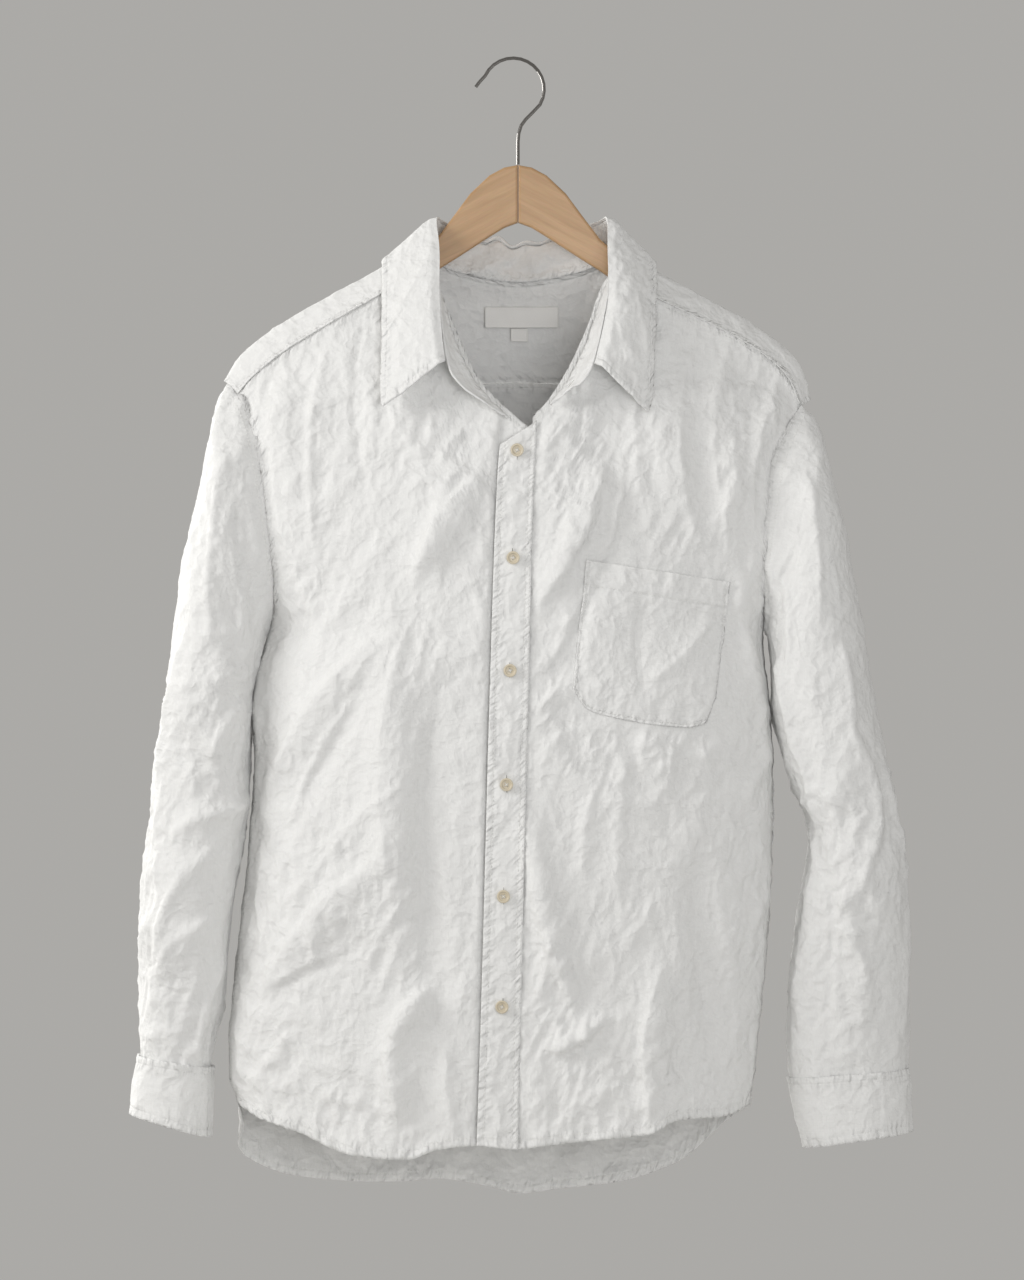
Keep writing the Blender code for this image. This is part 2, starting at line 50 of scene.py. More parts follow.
# Outline of the body at each height: both edges, and how far forward or back they stand.
# Down to the underarm an edge is the armhole seam, and from there on the side seam.
edgeRows = (
    # z, right edge x, left edge x, front edge y, back edge y
    (-283, -254, 264.5, -2, 2),
    (-294, -242, 264, -10, 10),
    (-307, -236, 254, -16, 16),
    (-322, -230, 244, -23, 23),
    (-347, -225, 232, -29, 29),
    (-373, -220, 227, -33, 34),
    (-431, -213.5, 222, -33, 36),
    (-456, -210, 221, -27, 30),
    (-480, -209, 220, -17, 20),
    (-500, -212, 219.5, 0, 0),
    (-530, -220, 221, -1, -1),
    (-563, -226, 224, -2, -2),
    (-651, -229, 228, -3, -3),
    (-766, -240.5, 224, -6, -6),
    (-845, -248, 215.5, -8, -8),
    (-894, -247, 210, -10, -10),
    (-935, -237, 203, -12, -12),
)
# How far the middle of the front and of the back stand from the hanger's plane.
depthRows = (
    # z, front y, back y
    (-140, -4, 20),
    (-187, -22, 36),
    (-220, -29, 44),
    (-260, -40, 50),
    (-300, -49, 54),
    (-340, -57, 57),
    (-430, -70, 61),
    (-560, -79, 62),
    (-700, -82, 58),
    (-850, -78, 52),
    (-1000, -72, 46),
)
# The placket's two edges.
placketRows = (
    # z, free edge x, sewn edge x
    (-320, -9, 20.7),
    (-356, -13, 19),
    (-429, -16.4, 16.2),
    (-492, -18.5, 14.9),
    (-650, -23, 11),
    (-800, -27, 7.5),
    (-965, -32.2, 4),
)
# Neck seam from the placket to the front yoke seam, on each side.
neckRight = (
    # x, z
    (-77, -187),
    (-66, -205),
    (-58, -226),
    (-47, -254),
    (-32, -286),
    (2, -322),
    (14, -330),
)
neckLeft = (
    # x, z
    (-11, -340),
    (20, -319),
    (33, -307),
    (52, -276),
    (68, -240),
    (79, -208),
    (89, -192),
)
yokeSeamRight = (
    # x, z
    (-242, -294),
    (-225, -276),
    (-188, -249),
    (-115, -207),
    (-77, -187),
)
yokeSeamLeft = (
    # x, z
    (89, -192),
    (129, -214),
    (164, -231),
    (205, -252),
    (237, -277),
    (254, -307),
)
hemFront = (
    # x, z
    (-242, -917),
    (-224, -927.5),
    (-189.5, -940),
    (-148, -957),
    (-92, -962),
    (-68, -954),
    (-33, -950),
    (2, -953),
    (38, -949),
    (82, -944),
    (120, -940),
    (137, -930),
    (163, -927),
    (184, -925.5),
    (204, -918),
)
hemBack = (
    # x, z
    (-242, -912),
    (-238, -932),
    (-232, -947),
    (-225, -958),
    (-216, -968),
    (-192, -982),
    (-153, -989),
    (-102, -990),
    (-64, -988),
    (-26, -994),
    (6, -1001),
    (38, -997),
    (96, -990),
    (125.5, -981),
    (152, -968),
    (175, -946),
    (190, -931),
    (204, -920),
)
# The back swells out past the side seam low down.
backSwell = (
    # z, at the right side, at the left side
    (-560, 0, 0),
    (-700, 1, 1),
    (-800, 2, 1),
    (-870, 5, 1),
    (-910, 14, 1),
    (-940, 21, 1),
)
# Yoke sections from the right shoulder tip over the hanger and round the neck to the left tip.
yokeSections = (
    # front or neck edge x y z, before crest x y z, crest x y z, behind crest x y z, back seam x y z
    (-242, -9, -294, -249, -6, -286, -254, 0, -283, -247, 8, -289, -230, 23, -322),
    (-225, -14, -276, -232, -7, -262, -236, 0, -257, -232, 10, -264, -216, 32, -314),
    (-188, -19, -249, -191, -9, -231, -193, 0, -226, -191, 12, -235, -178, 40, -305),
    (-115, -24, -207, -115, -10, -188, -115, 0, -183, -115, 14, -192, -108, 49, -293),
    (-77, -21, -187, -87, -9, -166, -90, 0, -162, -88, 14, -174, -74, 52, -288),
    (-84, -6, -162, -84, 0, -160, -83, 6, -162, -80, 16, -180, -60, 53, -286),
    (-77, 12, -170, -76, 15, -174, -74, 20, -182, -70, 28, -202, -46, 53, -285),
    (-50, 26, -184, -49, 29, -190, -48, 32, -198, -44, 38, -214, -28, 54, -283),
    (5, 34, -193, 5, 36, -199, 5, 38, -206, 5, 42, -222, 5, 55, -282),
    (60, 26, -184, 59, 29, -190, 58, 32, -198, 54, 38, -214, 38, 54, -283),
    (87, 12, -171, 86, 15, -175, 84, 20, -183, 80, 28, -203, 56, 53, -285),
    (94, -6, -163, 94, 0, -161, 93, 6, -163, 90, 16, -181, 70, 53, -286),
    (89, -21, -192, 97, -9, -168, 101, 0, -164, 99, 14, -176, 84, 52, -288),
    (129, -25, -212.5, 128, -10, -193, 128, 0, -188, 128, 14, -197, 118, 49, -293),
    (200, -20, -247.5, 203, -9, -235, 205, 0, -230, 203, 12, -239, 188, 40, -306),
    (237, -15, -275, 245, -7, -267, 248, 0, -263, 244, 10, -270, 228, 32, -320),
    (252, -14, -304.5, 257, -7, -302.5, 261.5, 0, -299, 254, 8, -304.5, 240, 24, -329),
)
# Neck seam and fold line of the collar, from the wearer's right front end round to the left one.
collarRows = (
    # seam x y z, fold x y z, leaf edge x y z
    (-4, -56, -318, -24, -68, -304, -70, -66, -302),
    (-32, -48, -286, -46, -70, -288, -88, -66, -306),
    (-50, -41, -250, -58, -66, -266, -112.6, -60, -307),
    (-64, -25, -206, -64, -48, -214, -113, -45, -246),
    (-80, -15, -180, -66.5, -26, -170, -113, -23, -200),
    (-85, -3, -158.5, -69, -4, -143, -112, -2, -175),
    (-78, 10, -166, -62, 14, -144, -100, 20, -188),
    (-50, 25, -180.5, -42, 26, -153, -62, 42, -207),
    (5, 33, -189.5, 5, 35, -161, 5, 46, -213),
    (60, 25, -180.5, 52, 26, -153, 72, 42, -207),
    (88, 10, -167, 76, 14, -144, 112, 20, -189),
    (96, -3, -159.5, 84, -4, -143, 124, -2, -177.5),
    (91, -15, -184, 84, -26, -172, 124, -23, -205),
    (77, -28, -212, 82, -48, -214, 122, -45, -248),
    (64, -41, -252, 70, -66, -268, 117, -61, -312),
    (50, -49, -280, 60, -72, -286, 92, -68, -302),
    (32, -57, -306, 52, -70, -289, 76, -68, -296),
)
# Sleeve sections: the outer and the inner end of each, and half its depth from front to back.
sleeveRight = (
    # outer x, outer z, inner x, inner z, half depth
    (-262, -316, -218.5, -507, 42),
    (-272, -365, -224.5, -526, 50),
    (-285, -425, -229.5, -553, 55),
    (-297, -500, -231.5, -595, 57),
    (-305, -561, -233.5, -640, 57),
    (-314, -630, -237.5, -690, 56),
    (-322, -700, -246, -740, 54),
    (-326.5, -760, -251.5, -790, 51),
    (-326.5, -820, -257.5, -840, 46),
    (-326, -873, -266, -881, 40),
)
sleeveLeft = (
    # outer x, outer z, inner x, inner z, half depth
    (269, -325, 224.5, -508, 42),
    (278, -358, 226, -524, 50),
    (290, -410, 227.5, -545, 56),
    (303, -476, 229.5, -582, 59),
    (324, -603, 247, -636, 59),
    (334, -665, 260, -672, 57),
    (341, -725, 257.5, -722, 55),
    (345.5, -768, 251, -764, 51),
    (347.5, -815, 245, -812, 47),
    (346.5, -850, 243, -850, 42),
    (346, -883, 243, -891, 37),
)
cuffRight = (
    # outer x, outer z, inner x, inner z, half depth
    (-328.5, -875, -264.5, -885, 41),
    (-333, -902, -265.5, -915, 40),
    (-336, -926, -267, -947, 39),
)
cuffLeft = (
    # outer x, outer z, inner x, inner z, half depth
    (347.5, -886.5, 242, -894.5, 38),
    (349, -915, 248, -926, 38),
    (350, -942, 256, -956, 37),
)
# the largest folds of the front, as soft ridges from one point to another
frontFolds = (
    # from x, z, to x, z, half width, rise
    (-26, -372, -84, -452, 12, 7),
    (-104, -500, -100, -760, 26, 9),
    (-76, -560, -70, -830, 16, -6),
    (-200, -270, -192, -440, 14, 5),
    (-130, -520, -214, -640, 12, 5),
    (-134, -560, -196, -672, 10, -4),
    (-120, -708, -214, -812, 13, 6),
    (-140, -778, -212, -812, 10, -4),
    (-75, -818, -104, -856, 10, 8),
    (-104, -856, -100, -925, 12, 7),
    (24, -478, 76, -364, 11, 6),
    (54, -500, 104, -392, 10, -4),
    (128, -284, 140, -420, 14, 5),
    (190, -300, 196, -440, 13, 6),
    (195, -456, 218, -566, 10, 5),
    (12, -664, 46, -812, 13, 7),
    (34, -866, 78, -838, 10, 6),
    (128, -798, 122, -935, 14, 7),
    (160, -700, 176, -880, 16, -5),
)
backFolds = (
    # from x, z, to x, z, half width, rise
    (-60, -320, -84, -760, 22, 8),
    (70, -320, 96, -700, 20, 8),
    (4, -420, 10, -900, 18, -6),
    (-150, -420, -176, -860, 22, 7),
    (150, -430, 170, -860, 20, 7),
    (-30, -760, -90, -960, 16, 6),
)
buttonRows = (
    # x, z
    (3.5, -345),
    (0, -439),
    (-2.6, -537),
    (-5.7, -636),
    (-8.4, -733),
    (-9.7, -829),
)


def curve(rows):
    # a smooth function through rows: takes an array of the first column, gives the others
    table = np.array(sorted(rows), float)
    at, values = table[:, 0], table[:, 1:]
    slopes = np.empty_like(values)
    slopes[1:-1] = (values[2:] - values[:-2]) / (at[2:] - at[:-2])[:, None]
    slopes[0] = (values[1] - values[0]) / (at[1] - at[0])
    slopes[-1] = (values[-1] - values[-2]) / (at[-1] - at[-2])

    def value(t):
        t = np.clip(np.asarray(t, float), at[0], at[-1])
        i = np.clip(np.searchsorted(at, t, side="right") - 1, 0, len(at) - 2)
        span = at[i + 1] - at[i]
        s = ((t - at[i]) / span)[..., None]
        span = span[..., None]
        found = values[i] + (3 * s**2 - 2 * s**3) * (values[i + 1] - values[i])
        found = found + (s**3 - 2 * s**2 + s) * slopes[i] * span
        found = found + (s**3 - s**2) * slopes[i + 1] * span
        return found[..., 0] if found.shape[-1] == 1 else np.moveaxis(found, -1, 0)

    return value


def mix(a, b, t):
    return a + (b - a) * t


def easing(low, high, t):
    t = np.clip((t - low) / (high - low), 0, 1)
    return t * t * (3 - 2 * t)


def lattice(ix, iy, iz, seed):
    # a fixed pseudo-random direction at each corner of the noise lattice
    n = (ix * 73856093) ^ (iy * 19349663) ^ (iz * 83492791) ^ (seed * 2654435761)
    n = (n ^ (n >> 13)) * 1274126177
    n = n & 0xFFFFFFFF
    angle = (n & 0xFFFF) / 65536 * 2 * np.pi
    height = ((n >> 16) & 0xFFFF) / 32768 - 1
    flat = np.sqrt(np.clip(1 - height**2, 0, 1))
    return np.cos(angle) * flat, np.sin(angle) * flat, height


def noise(p, seed=0):
    # gradient noise at points p (..., 3), about -1 to 1
    base = np.floor(p).astype(np.int64)
    f = p - base
    w = f**3 * (f * (f * 6 - 15) + 10)
    total = 0
    for dx in (0, 1):
        for dy in (0, 1):
            for dz in (0, 1):
                gx, gy, gz = lattice(base[..., 0] + dx, base[..., 1] + dy, base[..., 2] + dz, seed)
                dot = gx * (f[..., 0] - dx) + gy * (f[..., 1] - dy) + gz * (f[..., 2] - dz)
                wx = w[..., 0] if dx else 1 - w[..., 0]
                wy = w[..., 1] if dy else 1 - w[..., 1]
                wz = w[..., 2] if dz else 1 - w[..., 2]
                total = total + dot * wx * wy * wz
    return total * 1.6


def ridges(p, seed):
    # sharp creases between flat facets, 0 to 1
    warp = np.stack([noise(p * 0.6 + 7.3 * k, seed + k) for k in range(3)], -1)
    return np.clip(1 - np.abs(noise(p + 0.75 * warp, seed + 5)) * 2.1, 0, 1)


crumple = {
    "broad": (84, 3.0),  # size and height in mm of each kind of crease
    "middle": (36, 2.1),
    "small": (17, 1.35),
    "fine": (8.5, 0.85),
    "crease": 1.3,  # how strongly the listed folds stand out
    "lean": 0.22,  # how far the creases lean over as they go down
    "long": 0.6,  # creases run longer down the cloth than across it
}


def crumpled(points, seed, amount=1.0, lean=None):
    # how far the crumple lifts each point of a sheet, in mm
    lean = crumple["lean"] if lean is None else lean
    p = points.copy()
    p[..., 0] = points[..., 0] - lean * points[..., 2]
    p[..., 2] = points[..., 2] * crumple["long"]
    total = 0
    for k, name in enumerate(("broad", "middle", "small", "fine")):
        size, height = crumple[name]
        total = total + height * (ridges(p / size, seed + 11 * k) ** 1.4 - 0.35)
    # some parts are smoother
    patch = 0.55 + 0.9 * easing(-0.35, 0.5, noise(points / 120.0, seed + 77))
    return total * amount * patch


edges = curve(edgeRows)
depths = curve(depthRows)
placketEdges = curve(placketRows)
swell = curve(backSwell)
hemFrontZ = curve(hemFront)
hemBackZ = curve(hemBack)
neckRightZ = curve(neckRight)
neckLeftZ = curve(neckLeft)
yokeRightZ = curve(yokeSeamRight)
yokeLeftZ = curve(yokeSeamLeft)


def foldRise(folds, x, z):
    total = np.zeros(np.broadcast(x, z).shape)
    for x0, z0, x1, z1, width, rise in folds:
        length = math.hypot(x1 - x0, z1 - z0)
        ax, az = (x1 - x0) / length, (z1 - z0) / length
        t = np.clip(((x - x0) * ax + (z - z0) * az) / length, 0, 1)
        away = np.hypot(x - x0 - ax * t * length, z - z0 - az * t * length) / width
        total += rise * np.exp(-away * away) * (0.35 + 0.65 * np.sin(np.pi * t))
    return total


def creaseRise(creases, x, z):
    # sharper than folds: a steep side and a soft side, fading at both ends
    total = np.zeros(np.broadcast(x, z).shape)
    for x0, z0, x1, z1, width, rise in creases:
        length = math.hypot(x1 - x0, z1 - z0)
        ax, az = (x1 - x0) / length, (z1 - z0) / length
        t = ((x - x0) * ax + (z - z0) * az) / length
        bow = 0.06 * length * np.sin(np.pi * np.clip(t, 0, 1))
        side = (x - x0) * -az + (z - z0) * ax + bow
        ends = easing(-0.12, 0.18, t) * easing(1.12, 0.8, t)
        away = np.sqrt(side**2 + 3.2) - 1.8
        shape = np.exp(-away / np.where(side > 0, width, 0.55 * width))
        total += crumple["crease"] * rise * shape * ends
    return total


def roundness(s, z):
    s = np.clip(np.abs(s), 0, 1)
    below = easing(-400, -540, z)
    return mix(1 - s**2.2, (1 - s**2.6) ** (1 / 2.2), below)


def frontY(x, z):
    rightX, leftX, edgeY, _ = edges(z)
    s = x / np.where(x > 0, leftX, rightX)
    level = mix(edgeY, depths(z)[0], roundness(s, z))
    return level - foldRise(frontFolds, x, z) * easing(1.0, 0.86, np.abs(s))


def backY(x, z):
    rightX, leftX, _, edgeY = edges(z)
    s = x / np.where(x > 0, leftX, rightX)
    level = mix(edgeY, depths(z)[1], roundness(s, z))
    return level + foldRise(backFolds, x, z) * easing(1.0, 0.86, np.abs(s))


def along(points, axis):
    # distance run along a grid's rows or columns
    hops = np.linalg.norm(np.diff(points, axis=axis), axis=-1)
    start = np.zeros_like(np.take(hops, [0], axis=axis))
    return np.concatenate([start, np.cumsum(hops, axis=axis)], axis=axis)


def normalsOf(points, closed=False):
    if closed:
        across = np.roll(points, -1, axis=1) - np.roll(points, 1, axis=1)
    else:
        across = np.gradient(points, axis=1)
    down = np.gradient(points, axis=0)
    n = np.cross(down, across)
    return n / np.maximum(np.linalg.norm(n, axis=-1, keepdims=True), 1e-9)


def edgeDistance(points):
    # how far each grid point is from the sheet's left, right, top and lower edge
    across, down = along(points, 1), along(points, 0)
    return {
        "left": across,
        "right": across[:, -1:] - across,
        "top": down,
        "low": down[-1:, :] - down,
        "across": across,
        "down": down,
    }


def pucker(away, run, seed, height=0.9, reach=9, row=6.5):
    # the gathered ripples and the groove of a sewn seam
    place = np.stack([run / 8.5, run * 0 + seed * 3.1, away / 40], -1)
    ripple = noise(place, seed) + 0.6 * noise(place * np.array([2.1, 1, 1]), seed + 3)
    groove = np.exp(-(((away - row) / 1.5) ** 2)) * 0.5
    return height * ripple * np.exp(-((away / (reach * 1.5)) ** 2)) - groove


def step(away, width, height):
    # the doubled cloth of a hem or a seam allowance
    return height * easing(width + 0.8, width - 0.8, away)


def addNode(tree, kind, inputs, **settings):
    # one shader node: each input takes another node's output or a value
    node = tree.nodes.new("ShaderNode" + kind)
    for setting, value in settings.items():
        setattr(node, setting, value)
    for socket, value in inputs.items():
        if isinstance(value, bpy.types.NodeSocket):
            tree.links.new(value, node.inputs[socket])
        else:
            node.inputs[socket].default_value = value
    return node


def addBump(tree, height, strength, distance, before=None):
    inputs = {"Height": height, "Strength": strength, "Distance": distance}
    if before:
        inputs["Normal"] = before
    return addNode(tree, "Bump", inputs).outputs["Normal"]


def addTint(tree, factor, dark, pale):
    inputs = {"Factor": factor, "A": (*dark, 1), "B": (*pale, 1)}
    return addNode(tree, "Mix", inputs, data_type="RGBA").outputs["Result"]


def newMaterial(name):
    material = bpy.data.materials.new(name)
    material.use_nodes = True
    return material, material.node_tree, material.node_tree.nodes["Principled BSDF"]


linenLook = {
    "colour": (0.80, 0.80, 0.79),
    "threads": ((1900, 55, 1), (55, 1900, 1)),  # slubs along the warp and along the weft
    "wrinkles": (210, 0.5, 0.0012),  # scale, strength, depth in metres
    "facets": ((70, 0.0032), (150, 0.0016)),  # scale, depth in metres
    "facetStrength": 0.52,
    "gathers": (175, 0.4, 1),  # ripples along a seam
    "gatherReach": (0.7, 2.6),  # in rows of stitches from the edge
    "groove": (0.24, -0.17),  # half width in rows, and depth
    "pressed": (0.9, 0.0016),
    "weave": (0.4, 0.00025),
}


def linenMaterial(name):
    material, tree, shader = newMaterial(name)
    look = linenLook
    shader.inputs["Roughness"].default_value = 0.9
    shader.inputs["Sheen Weight"].default_value = 0.25
    shader.inputs["Sheen Roughness"].default_value = 0.6
    shader.inputs["Specular IOR Level"].default_value = 0.25
    shader.inputs["Subsurface Weight"].default_value = 0.12
    shader.inputs["Subsurface Radius"].default_value = (0.004, 0.004, 0.004)
    shader.inputs["Subsurface Scale"].default_value = 1.0
    uv = addNode(tree, "UVMap", {}, uv_map="cloth").outputs["UV"]
    slubs = []
    for scale in look["threads"]:
        place = addNode(tree, "Mapping", {"Vector": uv, "Scale": scale}).outputs["Vector"]
        slub = addNode(tree, "TexNoise", {"Vector": place, "Scale": 1.0, "Detail": 2.0})
        slubs.append(slub.outputs["Fac"])
    height = addNode(tree, "Math", {0: slubs[0], 1: slubs[1]}, operation="ADD").outputs["Value"]
    tone = addNode(tree, "MapRange", {"Value": height, "From Min": 0.6, "From Max": 1.4})
    dark = [c * 0.95 for c in look["colour"]]
    pale = [min(c * 1.04, 1) for c in look["colour"]]
    tint = addTint(tree, tone.outputs["Result"], dark, pale)
    tree.links.new(tint, shader.inputs["Base Color"])

    place = addNode(tree, "TexCoord", {}).outputs["Object"]
    size, strength, deep = look["wrinkles"]
    inputs = {"Vector": place, "Scale": size, "Detail": 4, "Distortion": 0.8}
    wrinkle = addNode(tree, "TexNoise", inputs)
    normal = addBump(tree, wrinkle.outputs["Fac"], strength, deep)
    shove = addNode(tree, "TexNoise", {"Vector": place, "Scale": 24, "Detail": 3})
    inputs = {0: shove.outputs["Color"], 1: (0.03, 0.03, 0.03), 2: place}
    moved = addNode(tree, "VectorMath", inputs, operation="MULTIPLY_ADD").outputs["Vector"]
    for size, deep in look["facets"]:
        facets = addNode(tree, "TexVoronoi", {"Vector": moved, "Scale": size}, feature="F1")
        normal = addBump(tree, facets.outputs["Distance"], look["facetStrength"], deep, normal)

    seam = addNode(tree, "UVMap", {}, uv_map="seam").outputs["UV"]
    rows = addNode(tree, "SeparateXYZ", {"Vector": seam}).outputs["Y"]
    gather = addNode(tree, "Mapping", {"Vector": seam, "Scale": look["gathers"]})
    inputs = {"Vector": gather.outputs["Vector"], "Scale": 1.0, "Detail": 1.0}
    ripple = addNode(tree, "TexNoise", inputs).outputs["Fac"]
    near, far = look["gatherReach"]
    inputs = {"Value": rows, "From Min": near, "From Max": far, "To Min": 1.0, "To Max": 0.0}
    fade = addNode(tree, "MapRange", inputs, interpolation_type="SMOOTHSTEP")
    sharp = addNode(tree, "MapRange", {"Value": ripple, "From Min": 0.34, "From Max": 0.66})
    inputs = {0: sharp.outputs["Result"], 1: fade.outputs["Result"]}
    gathered = addNode(tree, "Math", inputs, operation="MULTIPLY").outputs["Value"]
    off = addNode(tree, "Math", {0: rows, 1: 1.0}, operation="SUBTRACT").outputs["Value"]
    off = addNode(tree, "Math", {0: off}, operation="ABSOLUTE").outputs["Value"]
    wide, low = look["groove"]
    inputs = {"Value": off, "From Min": 0.0, "From Max": wide, "To Min": low, "To Max": 0.0}
    groove = addNode(tree, "MapRange", inputs, interpolation_type="SMOOTHSTEP")
    inputs = {0: gathered, 1: groove.outputs["Result"]}
    sewn = addNode(tree, "Math", inputs, operation="ADD").outputs["Value"]
    normal = addBump(tree, sewn, *look["pressed"], normal)
    normal = addBump(tree, height, *look["weave"], normal)
    tree.links.new(normal, shader.inputs["Normal"])
    return material


def seamMap(points, seams):
    # run along the nearest sewn edge, in metres, and distance from it, in stitch rows
    away = edgeDistance(points)
    runs = {"left": "down", "right": "down", "top": "across", "low": "across"}
    far = np.stack([away[edge] / row for edge, row in seams.items()])
    run = np.stack([away[runs[edge]] * mm + 0.7 * k for k, edge in enumerate(seams)])
    return run, far


def linked(name, data):
    made = bpy.data.objects.new(name, data)
    bpy.context.scene.collection.objects.link(made)
    return made


def meshOf(name, form, material=None):
    mesh = bpy.data.meshes.new(name)
    form.to_mesh(mesh)
    form.free()
    if material:
        mesh.materials.append(material)
    return mesh


def finishPiece(name, mesh):
    piece = linked(name, mesh)
    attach(piece, "root")
    return piece


def makeSheet(name, points, material, closed=False, thick=wall, slot="linen", seams=None):
    # a grid of points becomes a thin shell with a UV map laid out in metres
    rows, columns = points.shape[:2]
    if closed:
        points = np.concatenate([points, points[:, :1]], axis=1)
        columns += 1
    flatU, flatV = along(points, 1), along(points, 0)
    run, far = seamMap(points, seams or {"top": 1})
    if not seams:
        far = far * 0 + 9
    form = bmesh.new()
    bmesh.ops.create_grid(form, x_segments=columns - 1, y_segments=rows - 1, size=1)
    layer2d = form.loops.layers.uv.new("cloth")
    seam2d = form.loops.layers.uv.new("seam")
    places = {}
    for vert in form.verts:
        i = round((vert.co.x + 1) / 2 * (columns - 1))
        j = round((1 - vert.co.y) / 2 * (rows - 1))
        places[vert.index] = (j, i)
    for face in form.faces:
        spots = [places[loop.vert.index] for loop in face.loops]
        nearest = min(range(len(far)), key=lambda k: sum(far[k][spot] for spot in spots))
        for loop, spot in zip(face.loops, spots):
            loop[layer2d].uv = (flatU[spot] * mm, -flatV[spot] * mm)
            loop[seam2d].uv = (run[nearest][spot], far[nearest][spot])
    for vert in form.verts:
        j, i = places[vert.index]
        vert.co = Vector(points[j, i]) * mm
    if closed:
        bmesh.ops.remove_doubles(form, verts=form.verts, dist=1e-6)
    mesh = meshOf(name, form, material)
    mesh.shade_smooth()
    piece = finishPiece(name, mesh)
    shell = piece.modifiers.new("wall", "SOLIDIFY")
    shell.thickness = thick * mm
    shell.offset = 0
    return piece


def offset(points, lift, closed=False):
    return points + normalsOf(points, closed) * lift[..., None]


def sew(name, points, material, **how):
    grids[name] = points
    pieces[name] = makeSheet("shirt_" + name, points, material, **how)


def gridShares(columns, rows):
    return np.linspace(0, 1, columns + 1)[None, :], np.linspace(0, 1, rows + 1)[:, None]


# how far a sheet runs on under the next one
lap = {"top": 5, "under": 1.5, "armhole": 3.0, "placket": 3.5, "behind": 0.9}


def flatten(away, reach=16):
    # a sheet lies flatter near a seam
    return mix(0.2, 1, easing(0, reach, away))


def tuck(away, width):
    # sinks the edge of a sheet that runs under its neighbour
    return lap["under"] * easing(width + 3, width - 1, away)


frontPanel = {
    "columns": 118,
    "rows": 256,
    "hemWidth": 8,
    "outerGap": 0.5,
    "underPlacket": 5,
    "seams": {"low": 7, "top": 6, "right": 6},
}
frontSides = {
    # x from the placket to the side, at the top and at the hem, and z where the armhole begins
    "right": {"top": (14, -242), "hem": (0, -241), "armhole": (-294, -300)},
    "left": {"top": (20.7, 254), "hem": (4, 204), "armhole": (-307, -313)},
}


def frontEdges(away, seed):
    # hem, armhole and yoke seams of a front, each puckered along its own run
    lift = pucker(away["low"], away["across"], seed, 0.9)
    lift += pucker(np.abs(away["top"] - lap["top"]), away["across"], seed + 1, 0.9)
    lift -= tuck(away["top"], lap["top"])
    lift += pucker(away["right"], away["down"], seed + 2, 0.7)
    lift += step(away["low"], frontPanel["hemWidth"], 0.7)
    return lift


calmPatch = (60, 190, -586, -440)  # where the pocket lies: from x, to x, from z, to z


def leftPanelLift(points):
    # the left front lies calmer under and round its pocket
    x, z = points[..., 0], points[..., 2]
    right, left, low, top = calmPatch
    beside = np.maximum(np.maximum(right - x, x - left), np.maximum(z - top, low - z))
    beside = easing(0, 16, beside)
    return (crumpled(points, 8) + creaseRise(leftCreases, x, z)) * mix(0.3, 1.0, beside)


def meetYoke(points, away, edge, neckX):
    # the top of a front comes up just behind the yoke's edge
    x, y = points[..., 0], points[..., 1]
    side = math.copysign(1, neckX)
    near = easing(46, 4, away["top"]) * easing(neckX - side * 4, neckX + side * 9, x)
    points[..., 1] = mix(y, edge(x) + lap["behind"], near)
    return points


def toward(count):
    return np.sin(np.linspace(0, 1, count + 1) * np.pi / 2) ** 0.85


